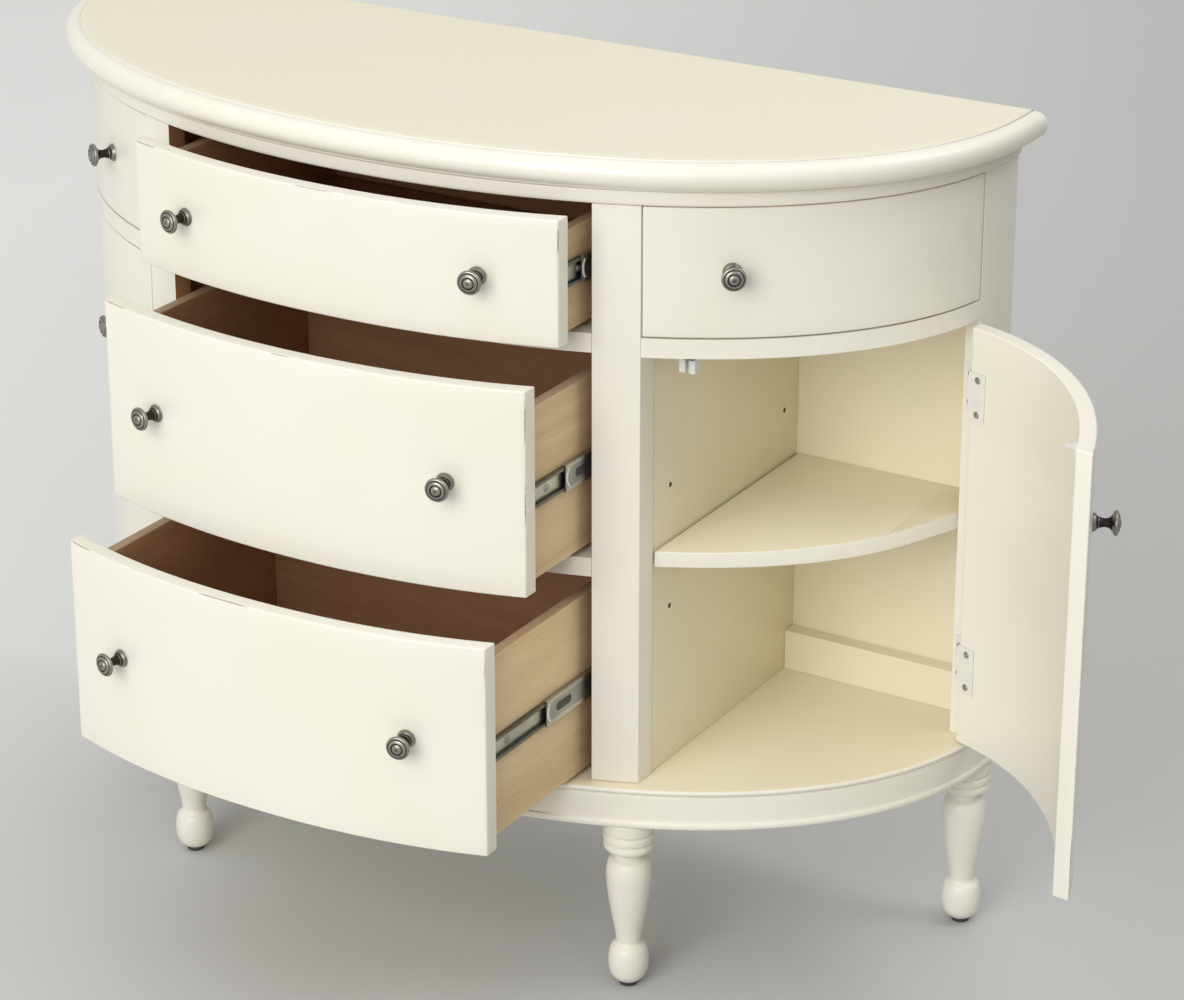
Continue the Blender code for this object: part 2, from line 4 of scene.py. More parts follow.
import bmesh
import bpy
import numpy as np
from mathutils import Matrix, Vector


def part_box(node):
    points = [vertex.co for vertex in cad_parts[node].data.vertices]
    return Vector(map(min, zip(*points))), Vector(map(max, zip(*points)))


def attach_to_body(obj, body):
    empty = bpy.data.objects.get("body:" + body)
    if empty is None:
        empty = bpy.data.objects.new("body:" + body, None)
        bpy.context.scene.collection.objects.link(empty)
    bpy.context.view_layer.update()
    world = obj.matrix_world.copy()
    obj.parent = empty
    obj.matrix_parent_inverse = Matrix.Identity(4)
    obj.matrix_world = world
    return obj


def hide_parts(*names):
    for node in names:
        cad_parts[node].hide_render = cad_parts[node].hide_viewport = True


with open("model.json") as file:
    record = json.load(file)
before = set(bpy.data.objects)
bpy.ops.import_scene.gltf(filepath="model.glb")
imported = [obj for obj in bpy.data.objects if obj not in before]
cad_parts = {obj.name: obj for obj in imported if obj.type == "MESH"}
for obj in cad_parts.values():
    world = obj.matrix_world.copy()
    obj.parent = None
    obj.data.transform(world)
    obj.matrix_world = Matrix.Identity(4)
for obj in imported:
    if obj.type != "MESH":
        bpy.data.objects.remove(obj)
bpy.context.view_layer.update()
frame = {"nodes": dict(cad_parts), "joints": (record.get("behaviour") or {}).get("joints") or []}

print("frame loaded:", len(frame["nodes"]), "nodes")

# The half-moon plan that all bowed pieces follow
plan = {
    "halfWidth": 0.524, "bow": 0.3614, "straightEnd": 0.0265, "power": 2.091, "steps": 260,
}
topLow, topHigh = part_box("top_panel")
middleX = (topLow.x + topHigh.x) / 2
backY = topHigh.y
origin = np.array((middleX, backY, 0.0))
joints = {joint["child"]: joint for joint in frame["joints"]}
# Clearance that keeps neighbouring faces apart
play = 0.0002


# How far a drawer stands open at rest, from its joint's range
def opening(body):
    return -joints[body]["range_m"][0]


doorTurn = math.radians(-joints["door_right"]["range_deg"][0])


# Front curve at an outset: the angle for a given x or y, and the point for an angle
def angleAtX(x, out):
    share = np.clip(np.abs(x) / (plan["halfWidth"] + out), 0, 1) ** (plan["power"] / 2)
    return np.arccos(np.copysign(share, x))


def angleAtY(y, out):
    share = np.clip((-plan["straightEnd"] - y) / (plan["bow"] + out), 0, 1)
    return np.arcsin(share ** (plan["power"] / 2))


def curvePoint(angle, out, bowOut=None):
    power = 2 / plan["power"]
    across = np.cos(angle)
    bow = plan["bow"] + (out if bowOut is None else bowOut)
    x = np.sign(across) * (plan["halfWidth"] + out) * np.abs(across) ** power
    return x, -plan["straightEnd"] - bow * np.clip(np.sin(angle), 0, 1) ** power


def curveY(x, out=0.0):
    return curvePoint(angleAtX(x, out), out)[1]


# The method of an operator: a Math node on both operands, swapped for the right-hand form
def operator(operation, swapped=False):
    def apply(self, other):
        return self.math(operation, *((other, self) if swapped else (self, other)))
    return apply


# Shader maths: a wire is one output socket, and arithmetic on wires adds Math nodes
class Wire:
    def __init__(self, recipe, socket):
        self.recipe = recipe
        self.socket = socket

    def math(self, operation, first, second):
        return self.recipe.node("Math", {"operation": operation}, {0: first, 1: second})

    __add__ = operator("ADD")
    __radd__ = operator("ADD", True)
    __sub__ = operator("SUBTRACT")
    __rsub__ = operator("SUBTRACT", True)
    __mul__ = operator("MULTIPLY")
    minimum = operator("MINIMUM")
    maximum = operator("MAXIMUM")

    def __abs__(self):
        return self.math("ABSOLUTE", self, 0.0)

    # 0 below low, 1 above high, straight between
    def between(self, low, high):
        inputs = {0: self, 1: low, 2: high, 3: 0.0, 4: 1.0}
        return self.recipe.node("MapRange", {"clamp": True}, inputs)


class Recipe:
    def __init__(self, name, kind="materials", shader="Principled BSDF"):
        self.material = getattr(bpy.data, kind).new(name)
        self.material.use_nodes = True
        self.tree = self.material.node_tree
        self.shader = self.tree.nodes[shader]

    # Any shader node: its type, its settings, then the values or wires of its sockets
    def node(self, kind, settings=None, inputs=None, output=0):
        made = self.tree.nodes.new("ShaderNode" + kind)
        for key, value in (settings or {}).items():
            setattr(made, key, value)
        for key, value in (inputs or {}).items():
            self.feed(made.inputs[key], value)
        return Wire(self, made.outputs[output])

    def feed(self, socket, value):
        if isinstance(value, Wire):
            self.tree.links.new(value.socket, socket)
        elif isinstance(value, tuple) and len(value) == 3 and len(socket.default_value) == 4:
            socket.default_value = (*value, 1.0)
        else:
            socket.default_value = value

    def set(self, **inputs):
        for key, value in inputs.items():
            self.feed(self.shader.inputs[key.replace("_", " ")], value)

    # Noise in the object's own coordinates, stretched along an axis whose share is small
    def noise(self, scale, detail, stretch=(1.0, 1.0, 1.0), roughness=0.5):
        coords = self.node("TexCoord", output="Object")
        place = self.node("Mapping", None, {"Vector": coords, "Scale": stretch})
        inputs = {"Vector": place, "Scale": scale, "Detail": detail, "Roughness": roughness}
        return self.node("TexNoise", None, inputs)

    def mix(self, share, first, second, kind="MIX"):
        settings = {"data_type": "RGBA", "blend_type": kind}
        return self.node("Mix", settings, {0: share, 6: first, 7: second}, 2)

    # How far coordinates or directions reach along an axis
    def alongAxis(self, coords, axis):
        settings = {"operation": "DOT_PRODUCT"}
        return self.node("VectorMath", settings, {0: coords, 1: axis}, "Value")

    def attribute(self, name):
        return self.node("Attribute", {"attribute_name": name}, output="Fac")

    def bump(self, height, distance, strength):
        inputs = {"Height": height, "Distance": distance, "Strength": strength}
        self.set(Normal=self.node("Bump", None, inputs))


# Colours are linear values
paint = {
    "colour": (0.815, 0.790, 0.700),
    "warmer": (0.795, 0.757, 0.630),
    # The top's copy of the paint is darker and warmer: painted shade
    "top": (0.785, 0.745, 0.598),
    "topWarmer": (0.770, 0.720, 0.550),
    # The copy for the inside, the shelves, the backs and the partitions is warmer: painted shade
    "inside": (0.815, 0.752, 0.555),
    "insideWarmer": (0.785, 0.705, 0.495),
    # Bare brown where the paint is rubbed through, also used to lay painted shade
    "rubbed": (0.270, 0.215, 0.140),
    "roughness": 0.33, "topRoughness": 0.48, "clouds": 5.0, "cloudShare": 0.55,
    "orangePeel": 0.00004, "peelScale": 900.0, "brushScale": 220.0, "gritScale": 700.0,
    "coat": 0.12, "coatRoughness": 0.22,
}
wood = {
    "light": (0.760, 0.580, 0.340),
    "dark": (0.600, 0.420, 0.220),
    "roughness": 0.55, "rings": 22.0, "slowScale": 3.0, "fineScale": 60.0, "poreScale": 420.0,
    "relief": 0.00008,
}
stain = {
    "light": (0.600, 0.335, 0.180),
    "dark": (0.410, 0.220, 0.118),
    "edgeLight": (0.470, 0.330, 0.200),
    "edgeDark": (0.340, 0.215, 0.120),
    "roughness": 0.45, "rings": 9.0, "edgeRings": 14.0,
}
steel = {
    "zinc": (0.56, 0.56, 0.52),
    "greased": (0.20, 0.20, 0.165),
    "dulled": (0.42, 0.42, 0.39),
    "screw": (0.45, 0.44, 0.42),
    "brightRoughness": 0.30, "dullRoughness": 0.36, "streakScale": 260.0, "blotchScale": 24.0,
    "blotchShade": 0.72,
}
pewter = {
    "groove": (0.040, 0.037, 0.033),
    "ridge": (0.34, 0.32, 0.29),
    "roughness": 0.42, "blotchScale": 350.0,
}
plastic = {
    "hinge": (0.80, 0.79, 0.73),
    "white": (0.80, 0.80, 0.77),
    "milky": (0.66, 0.66, 0.62),
    "dark": (0.045, 0.045, 0.048),
    "hole": (0.055, 0.038, 0.022),
    "grainScale": 1400.0, "cloudScale": 60.0, "cloudShade": 0.88,
}
# Grain that runs along y, grain that runs along x, and none
alongY, alongX, evenly = (1.0, 0.10, 1.0), (0.10, 1.0, 1.0), (1.0, 1.0, 1.0)
brushedY = (1.0, 0.05, 1.0)


# Satin cream paint: slow warm clouds, fine spray texture, and bare brown where it is rubbed through.
# The same brown also lays painted shade in the top's groove, the base's crease and along some edges and
# gaps
def creamPaint(name, colour, warmer, roughness=paint["roughness"]):
    r = Recipe(name)
    clouds = r.noise(paint["clouds"], 4.0).between(0.35, 0.65)
    peel = r.noise(paint["peelScale"], 2.0)
    grit = r.noise(paint["gritScale"], 3.0).between(0.40, 0.60)
    bareAndShaded = (r.attribute("worn") * (0.75 + grit * 0.5)).between(0.25, 0.95)
    base = r.mix(clouds * paint["cloudShare"], colour, warmer)
    r.set(Base_Color=r.mix(bareAndShaded, base, paint["rubbed"]))
    r.set(Roughness=roughness + clouds * 0.05 + bareAndShaded * 0.3)
    relief = peel * 0.7 + r.noise(paint["brushScale"], 2.0) - bareAndShaded * 3.0
    r.bump(relief, paint["orangePeel"], 0.6)
    r.set(Coat_Weight=paint["coat"], Coat_Roughness=paint["coatRoughness"])
    return r.material


# Plain sawn wood with long grain: the height of a slow noise, cut into even steps, gives the rings
def grainedWood(name, light, dark, roughness, stretch, ringCount):
    r = Recipe(name)
    slow = r.noise(wood["slowScale"], 4.0, stretch)
    fine = r.noise(wood["fineScale"], 4.0, stretch, 0.65)
    rings = slow * ringCount + fine * 0.35
    ridge = abs(rings.math("FRACT", rings, 0.0) - 0.5) * 2.0
    pores = r.noise(wood["poreScale"], 2.0, stretch).between(0.52, 0.72)
    tone = (ridge * 0.45 + fine * 0.45 + pores * 0.22).between(0.10, 0.95)
    r.set(Base_Color=r.mix(tone, light, dark))
    r.set(Roughness=roughness + pores * 0.12)
    r.bump(pores * -1.0 + fine * 0.4, wood["relief"], 0.5)
    return r.material


# Steel with fine streaks and duller blotches
def brushedSteel(name, colour, roughness, stretch=brushedY):
    r = Recipe(name)
    streaks = r.noise(steel["streakScale"], 3.0, stretch, 0.6)
    blotches = r.noise(steel["blotchScale"], 4.0)
    dull = tuple(c * steel["blotchShade"] for c in colour)
    r.set(Base_Color=r.mix(blotches.between(0.3, 0.7), colour, dull))
    r.set(Metallic=1.0, Roughness=roughness + streaks * 0.16)
    r.bump(streaks, 0.00003, 0.5)
    return r.material


# Aged pewter: dark in the grooves, rubbed bright on the ridges
def agedPewter():
    r = Recipe("aged pewter")
    blotches = r.noise(pewter["blotchScale"], 4.0, roughness=0.6)
    bright = (r.attribute("ridge") * 0.9 + (blotches - 0.5) * 0.5).between(0.15, 0.85)
    r.set(Base_Color=r.mix(bright, pewter["groove"], pewter["ridge"]))
    r.set(Metallic=1.0, Roughness=pewter["roughness"] - bright * 0.12 + blotches * 0.1)
    r.bump(blotches, 0.00008, 0.5)
    return r.material


# Plastic, and steel under plain paint: fine grain and faint clouds
def plainPlastic(name, colour, roughness):
    r = Recipe(name)
    grain = r.noise(plastic["grainScale"], 2.0)
    clouds = r.noise(plastic["cloudScale"], 3.0)
    r.set(Base_Color=r.mix(clouds, colour, tuple(c * plastic["cloudShade"] for c in colour)))
    r.set(Roughness=roughness + grain * 0.12)
    r.bump(grain, 0.00003, 0.4)
    return r.material


cream = creamPaint("cream paint", paint["colour"], paint["warmer"])
topCreamShaded = creamPaint(
    "cream paint on the top", paint["top"], paint["topWarmer"], paint["topRoughness"]
)
innerCreamShaded = creamPaint("warmer cream inside", paint["inside"], paint["insideWarmer"])
paleTones = (wood["light"], wood["dark"], wood["roughness"])
brownTones = (stain["light"], stain["dark"], stain["roughness"])
edgeTones = (stain["edgeLight"], stain["edgeDark"], stain["roughness"])
sideWood = grainedWood("light drawer wood", *paleTones, alongY, wood["rings"])
crossWood = grainedWood("light wood across", *paleTones, alongX, wood["rings"])
stainAlong = grainedWood("brown stained side", *brownTones, alongY, stain["rings"])
stainAcross = grainedWood("brown stained back", *brownTones, alongX, stain["rings"])
edgeWoodShaded = grainedWood("half stained edge", *edgeTones, alongY, stain["edgeRings"])
zincSteel = brushedSteel("zinc plated steel", steel["zinc"], steel["brightRoughness"])
darkSteel = brushedSteel("greased steel", steel["greased"], steel["dullRoughness"])
greyShadeSteel = brushedSteel("dulled steel", steel["dulled"], steel["dullRoughness"])
hingePaint = plainPlastic("painted hinge steel", plastic["hinge"], 0.32)
pewterMetal = agedPewter()
screwSteel = brushedSteel("screw steel", steel["screw"], steel["brightRoughness"], evenly)
whitePlastic = plainPlastic("white plastic", plastic["white"], 0.30)
clearPlastic = plainPlastic("milky plastic", plastic["milky"], 0.35)
darkPlastic = plainPlastic("dark plastic", plastic["dark"], 0.45)
holeShade = plainPlastic("dark hole", plastic["hole"], 0.80)
print("materials ready")


# Steps on each rounded corner, the distance at which points merge, and angles that stay sharp
surface = {
    "cornerSteps": 4, "merge": 0.000002, "sharp": 38.0, "sharpTurned": 50.0,
    "sharpFolded": 30.0, "sharpRound": 60.0,
}


def addObject(name, data):
    made = bpy.data.objects.new(name, data)
    bpy.context.scene.collection.objects.link(made)
    return made


# One closed mesh, merged where points meet, normals outwards. Points without faces are a tube's
# rows. Choose gives each face the number of its material from the faces' centres and normals
def makePiece(
    name, points, materials, attributes=None, sharp=surface["sharp"], choose=None, faces=None
):
    mesh = bpy.data.meshes.new(name)
    mesh.from_pydata(points.reshape(-1, 3) + origin, [], faces or tubeFaces(*points.shape[:2]))
    for key, values in (attributes or {}).items():
        layer = mesh.attributes.new(key, "FLOAT", "POINT")
        layer.data.foreach_set("value", np.ascontiguousarray(values, np.float32).ravel())
    merged = bmesh.new()
    merged.from_mesh(mesh)
    bmesh.ops.remove_doubles(merged, verts=merged.verts, dist=surface["merge"])
    bmesh.ops.recalc_face_normals(merged, faces=merged.faces)
    merged.to_mesh(mesh)
    merged.free()
    mesh.shade_smooth()
    mesh.set_sharp_from_angle(angle=math.radians(sharp))
    for material in materials:
        mesh.materials.append(material)
    if choose:
        centres, normals = np.zeros((2, len(mesh.polygons) * 3))
        mesh.polygons.foreach_get("center", centres)
        mesh.polygons.foreach_get("normal", normals)
        picked = choose(centres.reshape(-1, 3) - origin, normals.reshape(-1, 3))
        mesh.polygons.foreach_set("material_index", picked.astype(np.int32))
    return addObject(name, mesh)


# Faces of a grid whose second direction closes on itself, with the first and last rows capped
def tubeFaces(rows, around, cap=True):
    row = np.arange(rows - 1)[:, None] * around
    start = np.arange(around)[None, :]
    after = (start + 1) % around
    quads = np.stack(
        (row + start, row + after, row + around + after, row + around + start), -1
    ).reshape(-1, 4).tolist()
    if cap:
        quads.append(list(range(around))[::-1])
        quads.append(list(range((rows - 1) * around, rows * around)))
    return quads


# A rounded rectangle's loop: four quarter circles, and even parts along its upright and level sides
def roundedLoop(width, height, radius, inset, along):
    quarter = np.linspace(0, math.pi / 2, surface["cornerSteps"] + 1)
    centres = (
        (width - radius, radius, -math.pi / 2, along[1]),
        (width - radius, height - radius, 0.0, along[0]),
        (radius, height - radius, math.pi / 2, along[1]),
        (radius, radius, math.pi, along[0]),
    )
    reach = radius - inset
    arcs = []
    for cx, cy, turn, _ in centres:
        angle = quarter + turn
        arcs.append(np.stack((cx + reach * np.cos(angle), cy + reach * np.sin(angle)), 1))
    loop = []
    for k in range(4):
        loop.append(arcs[k])
        parts = centres[k][3]
        a, b = arcs[k][-1], arcs[(k + 1) % 4][0]
        share = np.arange(1, parts)[:, None] / parts
        loop.append(a + (b - a) * share)
    return np.concatenate(loop)


# A rounded bar: that loop carried along the length, drawn in by a quarter circle at both ends
def roundedBar(width, height, length, radius, steps=2, along=(1, 1)):
    turn = np.linspace(0, math.pi / 2, surface["cornerSteps"] + 1)
    ends = radius * (1 - np.cos(turn))
    insets = radius * (1 - np.sin(turn))
    middle = np.linspace(radius, length - radius, steps + 1)[1:-1]
    where = np.concatenate((ends, middle, length - ends[::-1]))
    inset = np.concatenate((insets, np.zeros(len(middle)), insets[::-1]))
    loops = np.stack([roundedLoop(width, height, radius, e, along) for e in inset])
    u, v = loops[..., 0], loops[..., 1]
    w = np.repeat(where[:, None], u.shape[1], 1)
    return u, v, w


# A straight board between two corners, its length along y
def roundedBlock(name, low, high, radius, materials, move, choose=None):
    size = np.array(high) - np.array(low)
    u, v, w = roundedBar(size[0], size[2], size[1], radius)
    points = np.stack((low[0] + u, low[1] + w, low[2] + v), -1)
    return makePiece(name, move(points), materials, choose=choose)


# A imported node's corners in the part's own frame
def localBox(node):
    return (np.array(corner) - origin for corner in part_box(node))


# Each piece rides a body and may take the place of a imported node
def attach(piece, node=None, body="cabinet"):
    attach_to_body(piece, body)
    if node:
        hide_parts(node)


# Profiles are given in mm
def plainProfile(points):
    return np.array(points) / 1000


# A profile made smooth: a cubic through each run of four points
def smoothProfile(points, steps):
    p = plainProfile(points)
    p = np.concatenate((p[:1] * 2 - p[1:2], p, p[-1:] * 2 - p[-2:-1]))
    t = np.linspace(0, 1, steps, endpoint=False)[:, None]
    runs = []
    for a, b, c, d in zip(p, p[1:], p[2:], p[3:]):
        square, cube = 2 * a - 5 * b + 4 * c - d, 3 * b - a - 3 * c + d
        runs.append(0.5 * (2 * b + (c - a) * t + square * t**2 + cube * t**3))
    runs.append(p[-2:-1])
    return np.concatenate(runs)


# Moulded boards: an edge profile of (outset, height) carried round the half-moon plan. The faces
# that choose picks have the second material
def mouldedBoard(name, node, profile, second, choose, worn=None, sideOut=0.0, frontOut=0.0):
    angles = np.concatenate(([0.0], np.linspace(0, math.pi, plan["steps"]), [math.pi]))
    outs, heights = profile[:, 0][:, None], profile[:, 1][:, None]
    x, y = curvePoint(angles[None, :], outs + sideOut, outs + frontOut)
    y[:, 0] = 0.0
    y[:, -1] = 0.0
    z = np.repeat(heights, x.shape[1], 1)
    points = np.stack((x, y, z), -1)
    attributes = worn and {"worn": worn(x, z)}
    attach(makePiece(name, points, [cream, second], attributes, choose=choose), node)


# Faces above "flat" get a darker, warmer copy of the paint: painted shade on the top
topBoard = {
    "sideOut": 0.029, "frontOut": 0.0176,
    "edge": (
        (-10, 856.8), (-6.2, 858.8), (-2.8, 862.2), (-0.7, 866.4), (0, 870.8),
        (-0.7, 875.2), (-2.9, 879), (-6.5, 881.7), (-11, 883), (-15, 883.3),
    ),
    "groove": ((-16, 882.5), (-16.8, 882.5), (-17.6, 883.8), (-18.6, 884), (-30, 884)),
    # After the flat top's height: the strength of the painted shadow in the groove, more of it towards
    # the right end, where that starts and over what length it rises
    "flat": 0.8839, "dirt": 0.30, "moreDirt": 0.45, "dirtFrom": 0.30, "dirtRise": 0.12,
}


# Painted shadow in the groove around the top, darker towards the right end
def grooveShadow(x, z):
    worn = np.zeros(x.shape)
    right = np.clip((x[-5:-3] - topBoard["dirtFrom"]) / topBoard["dirtRise"], 0, 1)
    worn[-5:-3] = topBoard["dirt"] + topBoard["moreDirt"] * right
    return worn


topEdge = np.concatenate((smoothProfile(topBoard["edge"], 6), plainProfile(topBoard["groove"])))
mouldedBoard(
    "topBoard", "top_panel", topEdge, topCreamShaded,
    lambda c, n: (n[:, 2] > 0.9) & (c[:, 2] > topBoard["flat"]),
    grooveShadow, topBoard["sideOut"], topBoard["frontOut"],
)

# Outset in mm, and height as a share of the way up to the top board's underside
frieze = {
    "edge": (
        (0.0, 0.0), (2.2, 0.04), (3.2, 0.17), (3.4, 0.46), (3.4, 0.71), (3.0, 0.76),
        (4.2, 0.80), (6.4, 0.85), (7.8, 0.92), (8.2, 1.0),
    ),
}
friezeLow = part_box("sub_top")[0].z
friezeEdge = smoothProfile(frieze["edge"], 3)
friezeEdge[:, 1] = friezeLow + friezeEdge[:, 1] * (topBoard["edge"][0][1] - friezeLow * 1000)
mouldedBoard("friezeMoulding", "sub_top", friezeEdge, stainAcross, lambda c, n: n[:, 2] < -0.9)

baseBoard = {
    "edge": (
        (10, 191.4), (12.2, 192.2), (13, 195), (12.4, 197.8), (11.3, 199.2),
        (10.8, 203), (10.8, 214), (10.7, 225), (10, 226.8), (9.2, 228),
        (10, 228.8), (12.2, 229.6), (13.3, 231.5), (13.3, 233.2), (12.2, 234.4),
        (10.5, 235),
    ),
    "bead": 0.1992, "beadReach": 0.0007, "wornAt": 0.185, "wornHalf": 0.030, "beadWorn": 0.9,
    # The crease's height and reach, and the strength of its painted shade
    "crease": 0.2281, "creaseReach": 0.0006, "creaseDirt": 0.55,
}


# The lower bead is worn dark along one stretch of the front; painted shade darkens the crease all round
def baseWearAndShade(x, z):
    bead = np.exp(-(((z - baseBoard["bead"]) / baseBoard["beadReach"]) ** 2))
    where = np.exp(-(((x - baseBoard["wornAt"]) / baseBoard["wornHalf"]) ** 4)) * baseBoard["beadWorn"]
    crease = np.exp(-(((z - baseBoard["crease"]) / baseBoard["creaseReach"]) ** 2))
    return bead * where + crease * baseBoard["creaseDirt"]


baseEdge = smoothProfile(baseBoard["edge"], 3)
mouldedBoard(
    "baseMoulding", "base_panel", baseEdge, innerCreamShaded, lambda c, n: n[:, 2] > 0.95, baseWearAndShade
)
print("moulded boards done")


# Bowed fronts and stiles. Lengths set the size of their end roundings along the curve
fronts = {
    "edgeRadius": 0.0016, "wornInset": 0.0004, "wornReach": 0.0008, "wornFade": 0.004,
    "middleLength": 0.5, "sideLength": 0.33, "middleSteps": 150, "sideSteps": 120,
    "stileSteps": 8, "gap": 0.002, "halfWidth": 0.2479, "stileWidth": 0.0436,
    "stileThickness": 0.024, "drawerThickness": 0.017, "doorThickness": 0.0165,
    "endDepth": 0.068, "hingeGap": 0.0028, "sideInner": 0.0010, "sideBelow": 0.0007,
    "sideAbove": 0.0010,
}


# A rounded section in depth and height carried along the front curve, in place of a imported node.
# It ends at endX, or at endY beside the end stile. Its list of rubbed edges and painted shade lines
# gives an edge, from, to and strength
def bowedSlab(
    name, node, body, startX, endX, endY, thickness, wearAndShadeLines, steps, move,
    below=0.0, above=0.0, inner=None, choose=None,
):
    bottom, top = (corner.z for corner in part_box(node))
    bottom, top = bottom - below, top + above
    height = top - bottom
    length = fronts["middleLength"] if endY is None else fronts["sideLength"]
    u, v, w = roundedBar(thickness, height, length, fronts["edgeRadius"], steps, (6, 10))
    out = -u
    first = angleAtX(startX, out)
    if endY is None:
        last = angleAtX(endX, out)
    else:
        last = angleAtY(endY, out)
    x, y = curvePoint(first + (last - first) * w / length, out)
    points = np.stack((x, y, bottom + v), -1)
    edges = {
        "top": (height - v, w / length),
        "bottom": (v, w / length),
        "start": (w, v / height),
        "end": (length - w, v / height),
    }
    inset, fade = fronts["wornInset"], fronts["wornFade"]
    worn = np.zeros(u.shape)
    for side, start, end, strength in wearAndShadeLines:
        off, share = edges[side]
        reach = np.hypot(u - inset, off - inset)
        window = 1 / (1 + np.exp(-(share - start) / fade)) / (1 + np.exp((share - end) / fade))
        worn = np.maximum(worn, strength * window * np.exp(-((reach / fronts["wornReach"]) ** 2)))
    materials = [cream, inner] if inner else [cream]
    piece = makePiece(name, move(points), materials, {"worn": worn}, choose=choose)
    attach(piece, node, body)


# Where the paint is rubbed through, and a faint line of painted shade along every top edge: edge, from
# and to as shares of its length, strength
everyWearAndShade = (("top", 0.925, 0.998, 1.0), ("top", 0.0, 1.0, 0.22))
drawerWear = {
    "top_drawer": (("top", 0.47, 0.55, 0.8), ("start", 0.70, 0.98, 1.0)),
    "middle_drawer": (("top", 0.49, 0.53, 0.9), ("start", 0.78, 0.98, 0.9), ("start", 0.38, 0.56, 0.9)),
    "bottom_drawer": (("top", 0.50, 0.61, 1.0), ("start", 0.88, 0.99, 0.8)),
}
centreDrawers = tuple(drawerWear)
halfFront = fronts["halfWidth"] - fronts["gap"]


def shiftY(amount):
    return lambda points: points + np.array((0.0, -amount, 0.0))


for body in centreDrawers:
    bowedSlab(
        body + "Front", body + "_front", body, halfFront, -halfFront, None, fronts["drawerThickness"],
        everyWearAndShade + drawerWear[body], fronts["middleSteps"], shiftY(opening(body)),
    )


# Left and right pieces share one shape, mirrored in x where sign is -1
def mirrored(sign):
    return lambda points: points * np.array((sign, 1.0, 1.0))


bothSides = (("right", 1), ("left", -1))
stileX = fronts["halfWidth"] + fronts["stileWidth"]
sideStartX = stileX + fronts["gap"]
sideEndY = -fronts["endDepth"] - fronts["gap"]
drawerInner, doorInner = -fronts["drawerThickness"], -fronts["doorThickness"]
stileInner = -fronts["stileThickness"]
doorEndY = -fronts["endDepth"] - fronts["hingeGap"]
hingePlace = joints["door_right"]["pos_m"]
hingeX, hingeY = hingePlace[0] - middleX, hingePlace[1] - backY


# The right door stands open: turned about its hinge line
def openDoor(points):
    x, y = points[..., 0] - hingeX, points[..., 1] - hingeY
    c, s = math.cos(doorTurn), math.sin(doorTurn)
    return np.stack((hingeX + x * c - y * s, hingeY + x * s + y * c, points[..., 2]), -1)


sideWearAndShade = {
    # The side drawers' long lines along the bottom and both ends are painted shade of the gaps; the
    # doors' short stretches are rubbed paint
    "drawer": (("bottom", 0.02, 0.97, 0.62), ("start", 0.02, 0.9, 0.25), ("end", 0.05, 0.95, 0.45)),
    "door": (("start", 0.0, 0.13, 0.9), ("start", 0.55, 0.62, 0.5), ("top", 0.0, 0.04, 0.6)),
}
doorMove = {"right": openDoor, "left": mirrored(-1)}
for side, sign in bothSides:
    body = "side_drawer_" + side
    bowedSlab(
        body + "Front", body + "_front", body, sideStartX - fronts["sideInner"], None, sideEndY,
        fronts["drawerThickness"], sideWearAndShade["drawer"], fronts["sideSteps"], mirrored(sign),
        fronts["sideBelow"], fronts["sideAbove"],
    )
    body = "door_" + side
    bowedSlab(
        body + "Panel", body + "_panel", body, sideStartX, None, doorEndY, fronts["doorThickness"],
        sideWearAndShade["door"], fronts["sideSteps"], doorMove[side],
    )
    node = "front_stile_" + side
    bowedSlab(
        node + "Board", node, "cabinet", stileX, fronts["halfWidth"], None, fronts["stileThickness"],
        (), fronts["stileSteps"], mirrored(sign), inner=stainAlong,
        choose=lambda c, n: (n[:, 0] * sign < -0.8) | (n[:, 1] > 0.5),
    )
print("fronts and doors done")


# Angles all the way round, and points moved by a matrix
def fullTurn(steps):
    return np.linspace(0, 2 * math.pi, steps, endpoint=False)


def movedBy(matrix, points):
    return points @ np.array(matrix.to_3x3()).T + np.array(matrix.translation)


# Turned pieces: a smooth profile of (radius, height) spun about its own axis, then placed
def turnedPiece(name, profile, steps, matrix, material, attributes=None, sharp=surface["sharpTurned"]):
    turn = fullTurn(steps)
    r, z = profile[:, 0][:, None], profile[:, 1][:, None]
    points = np.stack((r * np.cos(turn), r * np.sin(turn), z + 0 * turn), -1)
    return makePiece(name, movedBy(matrix, points), [material], attributes, sharp)


# The smooth profile of a turned piece, with no point past its axis
def spunProfile(points, steps):
    profile = smoothProfile(points, steps)
    profile[:, 0] = np.clip(profile[:, 0], 0, None)
    return profile


legs = {
    "profile": (
        (23.2, 191), (25.2, 189), (25.9, 185.5), (26, 180), (25.8, 177.2),
        (24, 175.6), (24, 174.6), (25.8, 173), (26.2, 170), (25.9, 167),
        (23.8, 165.5), (23.8, 164.5), (25.5, 162.8), (25.8, 159.8), (24.6, 156.8),
        (20, 153.8), (15.2, 151.2), (14.6, 149), (15.2, 146.8), (18.8, 144.2),
        (21.2, 140.5), (22.8, 134), (23.3, 125.5), (22.2, 112), (20.7, 98.8),
        (18.7, 87.3), (16.7, 75.8), (14.5, 65), (13.2, 55), (12.9, 50),
        (15, 46.8), (18, 43.5), (20, 36.5), (20.7, 27), (19.8, 18.5),
        (17.5, 12), (13, 6.8), (9.8, 5.6), (6, 5.5), (0, 5.5),
    ),
    "glide": (
        (0, 0), (7, 0), (9.2, 0.6), (9.6, 2), (9.6, 4.8), (9, 5.4), (0, 5.4),
    ),
    "steps": 72, "glideSteps": 36,
}
legProfile, glideProfile = spunProfile(legs["profile"], 4), plainProfile(legs["glide"])
